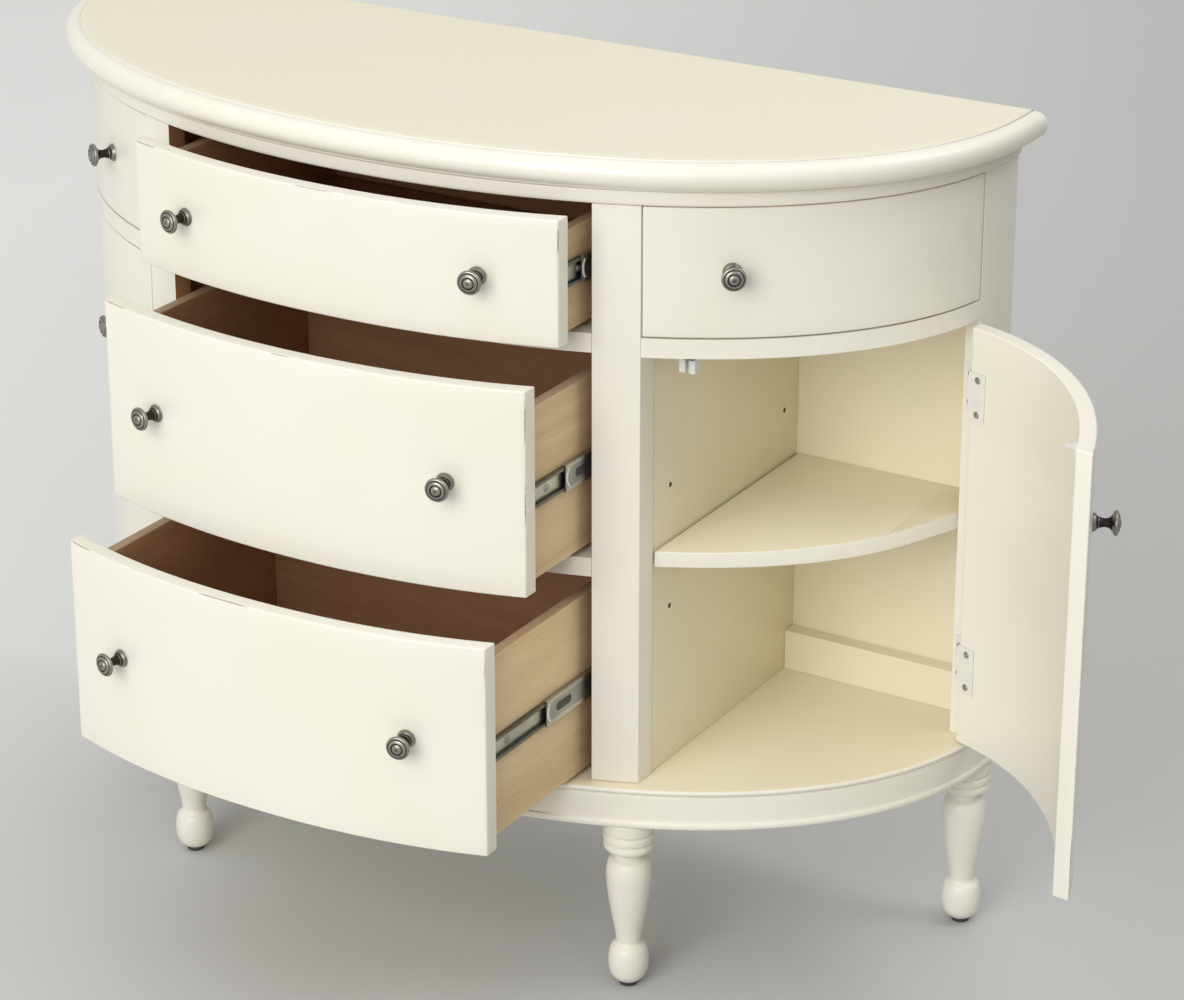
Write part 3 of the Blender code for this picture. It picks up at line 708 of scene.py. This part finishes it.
for name in ("front_left", "front_right", "rear_left", "rear_right"):
    node = "leg_" + name
    low, high = localBox(node)
    at = Matrix.Translation((*((low + high) / 2)[:2], 0.0))
    leg = turnedPiece(
        node + "Turned", legProfile, legs["steps"], at, cream, sharp=surface["sharpRound"]
    )
    attach(leg, node)
    glide = turnedPiece("glide_" + name, glideProfile, legs["glideSteps"], at, darkPlastic)
    attach(glide)

knobs = {
    "profile": (
        (0, 26.6), (2.2, 26.5), (4, 26), (4.9, 25.3), (5.3, 25),
        (5.8, 25.4), (7, 25.3), (8.4, 24.7), (9.1, 23.9), (9.5, 23.6),
        (10.1, 23.8), (11.2, 23.4), (11.8, 22.6), (12, 21.6), (11.6, 20.5),
        (10.5, 19.6), (8, 18.4), (5.8, 16.7), (4.6, 14.4), (4.2, 11.6),
        (4.5, 9), (5.3, 6.8), (5.8, 5.9), (5.6, 5.2), (6.3, 4.5),
        (7.4, 3.8), (8.3, 2.8), (8.7, 1.7), (8.7, 0.4), (0, 0.4),
    ),
    "steps": 48, "drawerX": 0.170, "sideX": 0.367, "doorX": 0.362, "ridgeBase": 0.45,
    "ridgeBend": 0.0012, "seatHalf": 0.004,
}
knobProfile = spunProfile(knobs["profile"], 3)
# Bright ridges and dark grooves: how far the profile bends outwards, over three points each way
bend = knobProfile[3:-3] * 2 - knobProfile[:-6] - knobProfile[6:]
ridge = np.pad(np.hypot(*bend.T) * np.sign(bend.sum(1)), 3)
ridge = np.clip(knobs["ridgeBase"] + ridge / knobs["ridgeBend"], 0, 1)
knobRidge = {"ridge": np.repeat(ridge[:, None], knobs["steps"], 1)}


# A knob stands on the front curve at x, its axis square to the curve
def placeKnob(x, z):
    step = knobs["seatHalf"]
    turn = math.atan2(float(curveY(x + step) - curveY(x - step)), 2 * step)
    seat = Matrix.Translation((x, float(curveY(x)), z))
    return seat @ Matrix.Rotation(turn, 4, "Z") @ Matrix.Rotation(math.pi / 2, 4, "X")


toHinge = Matrix.Translation((hingeX, hingeY, 0))
turned = toHinge @ Matrix.Rotation(doorTurn, 4, "Z") @ toHinge.inverted()
doorMatrix = {"right": turned, "left": Matrix()}
knobPlaces = []
for body in centreDrawers:
    for side, sign in bothSides:
        forward = Matrix.Translation((0, -opening(body), 0))
        knobPlaces.append((body + "_knob_" + side, body, sign * knobs["drawerX"], forward))
for side, sign in bothSides:
    body = "side_drawer_" + side
    knobPlaces.append((body + "_knob", body, sign * knobs["sideX"], Matrix()))
    body = "door_" + side
    knobPlaces.append((body + "_knob", body, sign * knobs["doorX"], doorMatrix[side]))
for node, body, x, move in knobPlaces:
    low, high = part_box(node)
    at = move @ placeKnob(x, (low.z + high.z) / 2)
    knob = turnedPiece(node + "Turned", knobProfile, knobs["steps"], at, pewterMetal, knobRidge)
    attach(knob, node, body)
print("legs and knobs done")


# Drawer boxes: sides, back and bottom of light wood, stained brown inside
drawers = {
    "halfOuter": 0.2352, "wall": 0.012, "bottom": 0.006, "rear": 0.030, "edgeRadius": 0.0012,
    "sideRear": 0.020, "frontJoint": 0.0007, "bottomJoint": 0.0009, "bottomRadius": 0.0006,
    "bottomSteps": 40, "backBelow": 0.001, "blockFront": 0.05,
}


# Board ends follow the inner face of the bowed front
def meetFront(points, frontY):
    reach = curveY(points[..., 0], drawerInner) + drawers["frontJoint"]
    back = points[..., 1].max()
    share = (points[..., 1] - frontY) / (back - frontY)
    points[..., 1] = reach + (back - reach) * share
    return points


# Sides, back and bottom. Left and right are given for the right half, sign -1 mirrors them
def boxBoards(body, left, right, rear, shift, sign):
    node = body + "_box"
    low, high = (corner.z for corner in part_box(node))
    wall = drawers["wall"]
    front = float(curveY(0.0)) + drawers["blockFront"]
    inside = low + drawers["bottom"] + play
    innerLeft, innerRight = left + wall, right - wall

    def finish(points):
        return shiftY(shift)(mirrored(sign)(points))

    def bent(points):
        return finish(meetFront(points, front))

    # Stained on the face whose normal points inwards, half stained on top and darkened there as painted
    # shade
    def stained(axis, way):
        return lambda c, n: (n[:, axis] * way > 0.7) + 2 * (n[:, 2] > 0.7)

    sides = [sideWood, stainAlong, edgeWoodShaded]
    for label, a, b, materials, move, choose in (
        ("SideLeft", (left, front, low), (innerLeft, -rear, high), sides, bent, stained(0, sign)),
        ("SideRight", (innerRight, front, low), (right, -rear, high), sides, bent, stained(0, -sign)),
        (
            "Back", (innerLeft + play, -rear - wall, inside),
            (innerRight - play, -rear, high - drawers["backBelow"]),
            [crossWood, stainAcross, edgeWoodShaded], finish, stained(1, -1),
        ),
    ):
        board = roundedBlock(body + label, a, b, drawers["edgeRadius"], materials, move, choose)
        attach(board, node, body)
    length = innerRight - innerLeft - 2 * play
    u, v, w = roundedBar(
        drawers["bottom"], 1.0, length, drawers["bottomRadius"], drawers["bottomSteps"]
    )
    x = innerLeft + play + w
    nearY = curveY(x, drawerInner) + drawers["bottomJoint"]
    bottom = makePiece(
        body + "Bottom", finish(np.stack((x, nearY + (-rear - play - nearY) * v, low + u), -1)),
        [crossWood, stainAcross], choose=lambda c, n: n[:, 2] > 0.7,
    )
    attach(bottom, node, body)


for body in centreDrawers:
    half = drawers["halfOuter"]
    boxBoards(body, -half, half, drawers["rear"], opening(body), 1)
for side, sign in bothSides:
    body = "side_drawer_" + side
    left, right = sorted(abs(corner.x - middleX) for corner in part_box(body + "_box"))
    boxBoards(body, left, right, drawers["sideRear"], 0.0, sign)
print("drawer boxes done")


# Steel slides: a folded channel section carried along y
slides = {
    "memberHeight": 0.024, "sheet": 0.0011, "gap": 0.0004, "wall": 0.0014,
    "memberDepth": 0.0050, "cabinetDepth": 0.0076, "lip": 0.0030, "cabinetLip": 0.0016,
    "middleDepth": 0.0038, "rail": 0.0042, "dip": 0.0008, "slotLength": 0.028,
    "slotHeight": 0.009, "slotSetback": 0.018, "slotLift": 0.00015, "clipBow": 0.0085,
    "clipPower": 2.2, "clipWidth": 0.0034, "clipThick": 0.0010, "clipInset": 0.0006,
    "slotSteps": 40, "clipRows": 33, "clipSteps": 12, "endRow": 0.0006, "setback": 0.003,
    "screws": (0.030, 0.105, 0.215),
    "screwSize": (0.0040, 0.0013),
    "screwLift": 0.0013, "greaseDepth": 0.0012,
}


# A channel's outline: web at x0, two arms to x1 with short rolled lips, all one sheet thick
def channelOutline(x0, x1, half, sheet, lip):
    d = math.copysign(sheet, x1 - x0)
    return [
        (x0, -half), (x1, -half), (x1, -half + lip), (x1 - d, -half + lip), (x1 - d, -half + sheet),
        (x0 + d, -half + sheet), (x0 + d, half - sheet), (x1 - d, half - sheet), (x1 - d, half - lip),
        (x1, half - lip), (x1, half), (x0, half),
    ]


# The outline carried from startY to endY. Faces nearer the middle than edgeX get the second material
def extrusion(name, outline, z, startY, endY, side, materials, edgeX=0.0):
    loop = np.array(outline)
    loop = np.stack((loop[:, 0] * side, np.zeros(len(loop)), loop[:, 1] + z), 1)
    points = np.repeat(loop[None], 4, 0)
    end = slides["endRow"]
    points[..., 1] = np.array((startY, startY + end, endY - end, endY))[:, None]
    return makePiece(
        name, points, materials, sharp=surface["sharpFolded"],
        choose=lambda c, n: (np.abs(c[:, 0]) < edgeX) & (np.abs(n[:, 2]) < 0.9),
    )


# Cross: half width and half length of an arm as shares of the radius, depth as a share of the height
screws = {
    "rings": 12, "steps": 48, "arm": 0.13, "reach": 0.55, "depth": 0.9, "skirt": 0.0002,
}


# Screw heads: a dome whose height falls with the radius, with a cross-shaped dip
def screwHead(name, matrix, radius, height):
    steps, arm, reach = screws["steps"], screws["arm"], screws["reach"]
    rings = np.linspace(0, 1, screws["rings"] + 1)[1:, None]
    turn = fullTurn(steps)
    x, y = rings * np.cos(turn), rings * np.sin(turn)
    dome = np.sqrt(np.clip(1 - rings**2, 0, 1)) + 0 * turn
    cross = np.maximum(
        np.exp(-((x / arm) ** 4)) * np.exp(-((y / reach) ** 6)),
        np.exp(-((y / arm) ** 4)) * np.exp(-((x / reach) ** 6)),
    )
    z = dome * height - cross * height * screws["depth"]
    flat = np.stack((x * radius, y * radius, z), -1).reshape(-1, 3)
    skirt = flat[-steps:] * np.array((1.0, 1.0, 0.0)) - np.array((0, 0, screws["skirt"]))
    flat = np.concatenate(([(0, 0, height * (1 - screws["depth"]))], flat, skirt))
    faces = [(0, 1 + k, 1 + (k + 1) % steps) for k in range(steps)]
    faces += [[1 + i for i in quad] for quad in tubeFaces(screws["rings"] + 1, steps, False)]
    faces.append([1 + screws["rings"] * steps + k for k in range(steps)][::-1])
    return makePiece(name, movedBy(matrix, flat), [screwSteel], faces=faces)


# Stands a small piece on a face: its own z along x for axis Y, against y for axis X
def facing(x, y, z, way, axis="Y"):
    return Matrix.Translation((x, y, z)) @ Matrix.Rotation(way * math.pi / 2, 4, axis)


slideFront = float(curveY(fronts["halfWidth"], drawerInner)) + slides["setback"]
slideBack = -drawers["rear"] - slides["setback"]
boxX = drawers["halfOuter"]
memberX = boxX + slides["memberDepth"]
middleWeb = memberX + slides["gap"] + slides["wall"]


def slideHeight(body):
    low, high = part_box(body + "_slide_right")
    return (low.z + high.z) / 2


# The middle member's outline: rolled rails above and below a web that lies a little deeper
def middleOutline(web, half):
    wall, dip, rail = slides["wall"], slides["dip"], slides["rail"]
    edge = web - slides["middleDepth"]
    return [
        (web, -half), (web, -half + rail), (web - dip, -half + rail + dip),
        (web - dip, half - rail - dip), (web, half - rail), (web, half),
        (edge, half), (edge, half - wall), (web - wall, half - wall),
        (web - wall, -half + wall), (edge, -half + wall), (edge, -half),
    ]


# A slot's dark hollow, as painted shade: a plate shaped like a rounded slot that lies on the web
def slotShadePlate(name, x, startY, z, side):
    turn = fullTurn(slides["slotSteps"])
    radius = slides["slotHeight"] / 2
    reach = slides["slotLength"] / 2 - radius
    y = startY + reach + radius + radius * np.cos(turn) + reach * np.sign(np.cos(turn))
    x = (x + np.array([[0.0], [slides["slotLift"]]])) * side + 0 * turn
    points = np.stack((x, y + 0 * x, z + radius * np.sin(turn) + 0 * x), -1)
    return makePiece(name, points, [darkPlastic])


# The front clip: a strip that bows forwards between the two rails and flares back at both ends
def clipStrip(name, x, startY, z, half, side):
    up = np.linspace(-1, 1, slides["clipRows"])[:, None]
    turn = fullTurn(slides["clipSteps"])
    bow = slides["clipBow"] * np.abs(up) ** slides["clipPower"]
    wide, thick = slides["clipWidth"] / 2, slides["clipThick"] / 2
    points = np.stack((
        (x + thick + thick * np.sin(turn) + 0 * up) * side,
        startY + wide + bow + wide * np.cos(turn),
        z + half * up + 0 * turn,
    ), -1)
    return makePiece(name, points, [whitePlastic], sharp=surface["sharpRound"])


middleHalf = slides["memberHeight"] / 2 + slides["gap"] + slides["wall"]
# The drawer members on the left are as tall as the middle members
memberHalf = {"right": slides["memberHeight"] / 2, "left": middleHalf}
webX = middleWeb - slides["dip"]
for body in centreDrawers:
    z = slideHeight(body)
    shift = opening(body)
    for side, sign in bothSides:
        # The member's arms and lips take the dark steel, grease with painted shade; its web takes the
        # bright zinc
        member = extrusion(
            body + "Member_" + side,
            channelOutline(boxX + play / 2, memberX, memberHalf[side], slides["sheet"], slides["lip"]),
            z, slideFront - shift, slideBack - shift, sign,
            [darkSteel, zincSteel], memberX - slides["greaseDepth"],
        )
        attach(member, body + "_box", body)
        for place in slides["screws"]:
            at = facing(sign * (boxX + slides["screwLift"]), slideFront + place - shift, z, sign)
            name = body + "MemberScrew_%s_%d" % (side, place * 1000)
            attach(screwHead(name, at, *slides["screwSize"]), None, body)
        carrier = body + "_slide_member_" + side
        startY = slideFront - shift / 2
        # The middle member's recessed web and inner faces take the greyer steel: painted shade in the
        # recess
        middle = extrusion(
            body + "Middle_" + side, middleOutline(middleWeb, middleHalf), z, startY,
            slideBack - shift / 2, sign, [zincSteel, greyShadeSteel], middleWeb - play,
        )
        attach(middle, body + "_slide_" + side, carrier)
        # The slot is a dark plate of painted shade
        plate = slotShadePlate(body + "Slot_" + side, webX, startY + slides["slotSetback"], z, sign)
        attach(plate, None, carrier)
        inset = slides["clipInset"]
        clip = clipStrip(
            body + "Clip_" + side, webX - play, startY + inset, z, middleHalf - inset, sign
        )
        attach(clip, None, carrier)
print("slides done")


# Partitions: board, packing rails and the cabinet members of the slides
partitions = {
    "thickness": 0.018, "setback": 0.001, "joint": 0.0026, "radius": 0.0006,
    "runnerHeight": 0.050, "runnerSetback": 0.020, "runnerRadius": 0.0008,
    "channelPlay": 0.0003, "back": 0.0053,
}
outerX = stileX - partitions["setback"]
innerX = outerX - partitions["thickness"]
partitionY = float(curveY(outerX, stileInner)) + partitions["joint"]
channelX = fronts["halfWidth"] - partitions["channelPlay"]
channelHalf = slides["memberHeight"] / 2 + 2 * (slides["gap"] + slides["wall"])


# The partition's front end follows the stile's back
def followStile(points):
    near = curveY(points[..., 0], stileInner) + partitions["joint"]
    share = (points[..., 1] - partitionY) / (-partitions["back"] - partitionY)
    points[..., 1] = near + (-partitions["back"] - near) * share
    return points


for side, sign in bothSides:
    node = "partition_" + side
    low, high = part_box(node)
    flip = mirrored(sign)
    panel = roundedBlock(
        node + "Board", (innerX, partitionY, low.z), (outerX, -partitions["back"], high.z),
        partitions["radius"], [innerCreamShaded, stainAlong], lambda points: flip(followStile(points)),
        choose=lambda c, n: n[:, 0] * sign < -0.7,
    )
    attach(panel, node)
    for body in centreDrawers:
        z = slideHeight(body)
        reach = partitions["runnerHeight"] / 2
        runner = roundedBlock(
            node + "Rail_" + body,
            (fronts["halfWidth"] + 2 * play, partitionY + partitions["runnerSetback"], z - reach),
            (innerX - play, slideBack, z + reach), partitions["runnerRadius"], [stainAlong], flip,
        )
        attach(runner, node)
        outline = channelOutline(
            channelX, channelX - slides["cabinetDepth"], channelHalf,
            slides["wall"], slides["cabinetLip"],
        )
        channel = extrusion(
            node + "Channel_" + body, outline, z, slideFront, slideBack, sign, [zincSteel]
        )
        attach(channel, node)
print("partitions done")

# Shelves: the front edge follows the body's curve set in, then eases out to the end stile
shelves = {
    "inset": 0.024, "radius": 0.0012, "easeFrom": 0.80, "endY": -0.0655, "steps": 60,
}
for side, sign in bothSides:
    node = "shelf_" + side
    low, high = localBox(node)
    nearX, farX = sorted((abs(low[0]), abs(high[0])))
    depth = high[1] - low[1]
    length = farX - nearX
    u, v, w = roundedBar(high[2] - low[2], depth, length, shelves["radius"], shelves["steps"])
    share = w / length
    first = angleAtX(nearX, -shelves["inset"])
    last = angleAtY(shelves["endY"], -shelves["inset"])
    x, y = curvePoint(first + (last - first) * share, -shelves["inset"])
    ease = np.clip((share - shelves["easeFrom"]) / (1 - shelves["easeFrom"]), 0, 1)
    x = x + (farX - x.max()) * ease**2
    points = np.stack((x * sign, high[1] + (y - high[1]) * v / depth, low[2] + u), -1)
    board = makePiece(
        node + "Board", points, [cream, innerCreamShaded],
        choose=lambda c, n: np.abs(n[:, 2]) > 0.8,
    )
    attach(board, node)
print("shelves done")


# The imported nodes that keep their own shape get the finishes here
finishes = {
    # The backs take the inside copy of the paint with its painted shade
    "back_": innerCreamShaded,
    "slide": zincSteel,
    "leaf": hingePaint,
}
for name, node in frame["nodes"].items():
    chosen = cream
    for word, material in finishes.items():
        if word in name:
            chosen = material
    node.data.materials.clear()
    node.data.materials.append(chosen)


# Hinge screws: rows up each leaf, how far in from the door's end or the pin, radius and height
hinges = {
    "doorRows": (0.007, 0.043), "doorIn": 0.011, "doorLift": 0.0013, "doorScrew": (0.0038, 0.0011),
    "frameRows": (0.010, 0.040), "frameIn": 0.0090, "frameScrew": (0.0032, 0.0010),
}
doorScrewY = doorEndY - hinges["doorIn"]
doorScrewX = curvePoint(angleAtY(doorScrewY, doorInner), doorInner)[0] - hinges["doorLift"]
for side, sign in bothSides:
    body = "door_" + side
    for place in ("lower", "upper"):
        label = body + "_" + place
        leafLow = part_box(label + "_leaf")[0]
        for row in hinges["doorRows"]:
            at = doorMatrix[side] @ facing(sign * doorScrewX, doorScrewY, leafLow.z + row, -sign)
            name = label + "_screw_%d" % (row * 1000)
            attach(screwHead(name, at, *hinges["doorScrew"]), None, body)
        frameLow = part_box(label + "_frame_leaf")[0]
        for row in hinges["frameRows"]:
            x, y = sign * (hingeX - hinges["frameIn"]), frameLow.y - backY + play
            at = facing(x, y, frameLow.z + row, 1, "X")
            name = label + "_frameScrew_%d" % (row * 1000)
            attach(screwHead(name, at, *hinges["frameScrew"]))
print("hinges done")


# Catches under the side boards: a dark plate with two white blocks, and the strike on the door
catches = {
    "plate": 0.0088, "plateRadius": 0.0006, "blockWidth": 0.0075, "blockDepth": 0.0120,
    "blockRadius": 0.0016, "blockInset": 0.0003, "blockOverlap": 0.0005, "strikeDrop": 0.0118,
    "strikeSink": 0.0012,
}
# Parts of the strike: width, height, start and end behind the door's face, radius of the edges
strikeParts = {
    "Foot": (0.011, 0.014, -0.0010, 0.0026, 0.0008),
    "Blade": (0.0020, 0.0055, 0.0, 0.0150, 0.0009),
}
for side, sign in bothSides:
    node = "catch_" + side
    low, high = localBox(node)
    inner, outer = sorted((abs(low[0]), abs(high[0])))
    plateZ = high[2] - catches["plate"]
    plate = roundedBlock(
        node + "Plate", (inner, low[1], plateZ), (outer, high[1], high[2]), catches["plateRadius"],
        [darkPlastic], mirrored(sign),
    )
    attach(plate, node)
    deep, reach, width = (low[1] + high[1]) / 2, catches["blockDepth"] / 2, catches["blockWidth"]
    inset = catches["blockInset"]
    for label, start in (("Inner", inner + inset), ("Outer", outer - inset - width)):
        block = roundedBlock(
            node + label, (start, deep - reach, low[2]),
            (start + width, deep + reach, plateZ + catches["blockOverlap"]),
            catches["blockRadius"], [whitePlastic], mirrored(sign),
        )
        attach(block, node)
    x = (inner + outer) / 2
    y = float(curveY(x, doorInner)) - catches["strikeSink"]
    z = high[2] - catches["strikeDrop"]
    for label, (wide, tall, start, end, radius) in strikeParts.items():
        strike = roundedBlock(
            "strike_" + side + label, (x - wide / 2, y + start, z - tall / 2),
            (x + wide / 2, y + end, z + tall / 2), radius, [clearPlastic], doorMove[side],
        )
        attach(strike, None, "door_" + side)
print("catches done")

# Shelf pin holes on the cupboard side of each partition, each a thin dark disc of painted shade, and
# the pins under the shelves
pins = {
    "holes": ((-0.0349, 0.5331), (-0.2712, 0.5344), (-0.2711, 0.4048)),
    "holeProfile": ((0.0, 0.2), (1.9, 0.2), (2.7, 0.1), (2.9, -0.2), (0.0, -0.2)),
    "pins": (-0.0349, -0.2700),
    "pinProfile": ((0.0, 8.0), (2.1, 7.8), (2.5, 7.0), (2.5, -0.2), (0.0, -0.2)),
    "pinDrop": 0.0028, "steps": 20,
}
holeProfile, pinProfile = plainProfile(pins["holeProfile"]), plainProfile(pins["pinProfile"])
for side, sign in bothSides:
    for number, (y, z) in enumerate(pins["holes"]):
        at = facing(sign * outerX, y, z, sign)
        name = "pinHole_%s_%d" % (side, number)
        attach(turnedPiece(name, holeProfile, pins["steps"], at, holeShade))
    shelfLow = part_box("shelf_" + side)[0]
    for number, y in enumerate(pins["pins"]):
        at = facing(sign * outerX, y, shelfLow.z - pins["pinDrop"], sign)
        name = "shelfPin_%s_%d" % (side, number)
        attach(turnedPiece(name, pinProfile, pins["steps"], at, screwSteel))
print("cupboard fittings done")

# Floor and backdrop. Right and away are the camera's own directions on the floor. Painted shade darkens
# the floor towards the right and painted light brightens it with distance, as in the photo
stage = {
    "floor": (0.620, 0.620, 0.606),
    "right": (0.856, 0.517, 0.0),
    "away": (-0.517, 0.856, 0.0),
    "middleShade": 0.868, "awayShade": 0.085, "rightShade": 0.185, "least": 0.60, "most": 1.25,
    "clouds": 1.2, "cloudShade": 0.97, "roughness": 0.85, "half": 11.0, "bend": 9.0,
    "height": 7.0, "floorRows": 30, "bendRows": 24, "columns": 16,
}


# The floor runs back, then sweeps up into the backdrop on a quarter circle
def makeStage():
    half, bend = stage["half"], stage["bend"]
    radius = half - bend
    along = np.linspace(-half, bend, stage["floorRows"])
    turn = np.linspace(0, math.pi / 2, stage["bendRows"])[1:]
    y = np.concatenate((along, bend + radius * np.sin(turn), [half]))
    z = np.concatenate((along * 0, radius - radius * np.cos(turn), [stage["height"]]))
    x = np.linspace(-half, half, stage["columns"])[:, None]
    points = np.stack((x + 0 * y, y + 0 * x, z + 0 * x), -1)
    mesh = bpy.data.meshes.new("stageSweep")
    rows, cols = points.shape[:2]
    i = (np.arange(rows - 1)[:, None] * cols + np.arange(cols - 1)).ravel()
    quads = np.stack((i, i + cols, i + cols + 1, i + 1), 1)
    mesh.from_pydata(points.reshape(-1, 3), [], quads.tolist())
    mesh.shade_smooth()
    r = Recipe("studio floor")
    coords = r.node("TexCoord", output="Object")
    paintedLightAway = r.alongAxis(coords, stage["away"]) * stage["awayShade"] + stage["middleShade"]
    paintedShadeRight = 1.0 - r.alongAxis(coords, stage["right"]) * stage["rightShade"]
    shade = (paintedLightAway * paintedShadeRight).maximum(stage["least"]).minimum(stage["most"])
    cloudy = tuple(c * stage["cloudShade"] for c in stage["floor"])
    even = r.mix(r.noise(stage["clouds"], 3.0), stage["floor"], cloudy)
    grey = r.node("CombineColor", None, {0: shade, 1: shade, 2: shade})
    r.set(Base_Color=r.mix(1.0, even, grey, "MULTIPLY"), Roughness=stage["roughness"])
    mesh.materials.append(r.material)
    addObject("stageSweep", mesh)


makeStage()

lamps = {
    "key": {"at": (0.35, -4.15, 2.3), "aim": (0.0, 0.1, 0.45), "size": 2.8, "power": 109.0},
    "fill": {"at": (2.35, 1.0, 3.2), "aim": (0.2, -0.1, 0.5), "size": 1.1, "power": 20.0},
}
for name, lamp in lamps.items():
    light = bpy.data.lights.new(name, "AREA")
    light.size = lamp["size"]
    light.energy = lamp["power"]
    holder = addObject(name, light)
    holder.location = lamp["at"]
    back = Vector(lamp["at"]) - Vector(lamp["aim"])
    holder.rotation_euler = back.to_track_quat("Z", "Y").to_euler()

# The room is bright overhead and dim at both sides. The camera and mirrors see a plain grey
room = {
    "low": 0.05, "high": 1.74, "horizon": 0.50, "sideLoss": 1.0, "seen": 0.68,
    "plainFor": ("Camera", "Glossy", "Transmission"),
}
sky = Recipe("studio", "worlds", "Background")
toward = sky.node("TexCoord", output="Generated")
sideways = sky.alongAxis(toward, (1.0, 0.0, 0.0))
upward = sky.alongAxis(toward, (0.0, 0.0, 1.0))
overhead = upward * (1.0 - room["horizon"]) + room["horizon"]
share = (1.0 - abs(sideways) * room["sideLoss"]) * overhead
dim, bright, plain = (
    sky.node("Background", None, {"Color": (1.0, 1.0, 1.0), "Strength": room[key]})
    for key in ("low", "high", "seen")
)
both = sky.node("MixShader", None, {0: share, 1: dim, 2: bright})
path = [sky.node("LightPath", output="Is %s Ray" % kind) for kind in room["plainFor"]]
direct = path[0].maximum(path[1]).maximum(path[2])
seen = sky.node("MixShader", None, {0: direct, 1: both, 2: plain})
sky.feed(sky.tree.nodes["World Output"].inputs["Surface"], seen)
sky.tree.nodes.remove(sky.shader)
bpy.context.scene.world = sky.material

# The photo's camera. Focal length and the optical axis are in pixels of the photo
view = {
    "at": (1.8354, -2.9852, 1.8353),
    "turn": (69.7366, 0.0, 31.1234),
    "axis": (588.167, 341.95),
    "width": 1184.0, "height": 1000.0, "focal": 3461.6879, "sensor": 36.0,
}
camera = bpy.data.cameras.new("camera")
camera.sensor_width = view["sensor"]
camera.lens = view["focal"] * view["sensor"] / view["width"]
camera.shift_x = (view["width"] / 2 - view["axis"][0]) / view["width"]
camera.shift_y = (view["axis"][1] - view["height"] / 2) / view["width"]
holder = addObject("camera", camera)
holder.location = np.array(view["at"]) + origin
holder.rotation_euler = np.radians(view["turn"])
bpy.context.scene.camera = holder
bpy.context.scene.view_settings.view_transform = "Standard"
print("stage, lights and camera done")
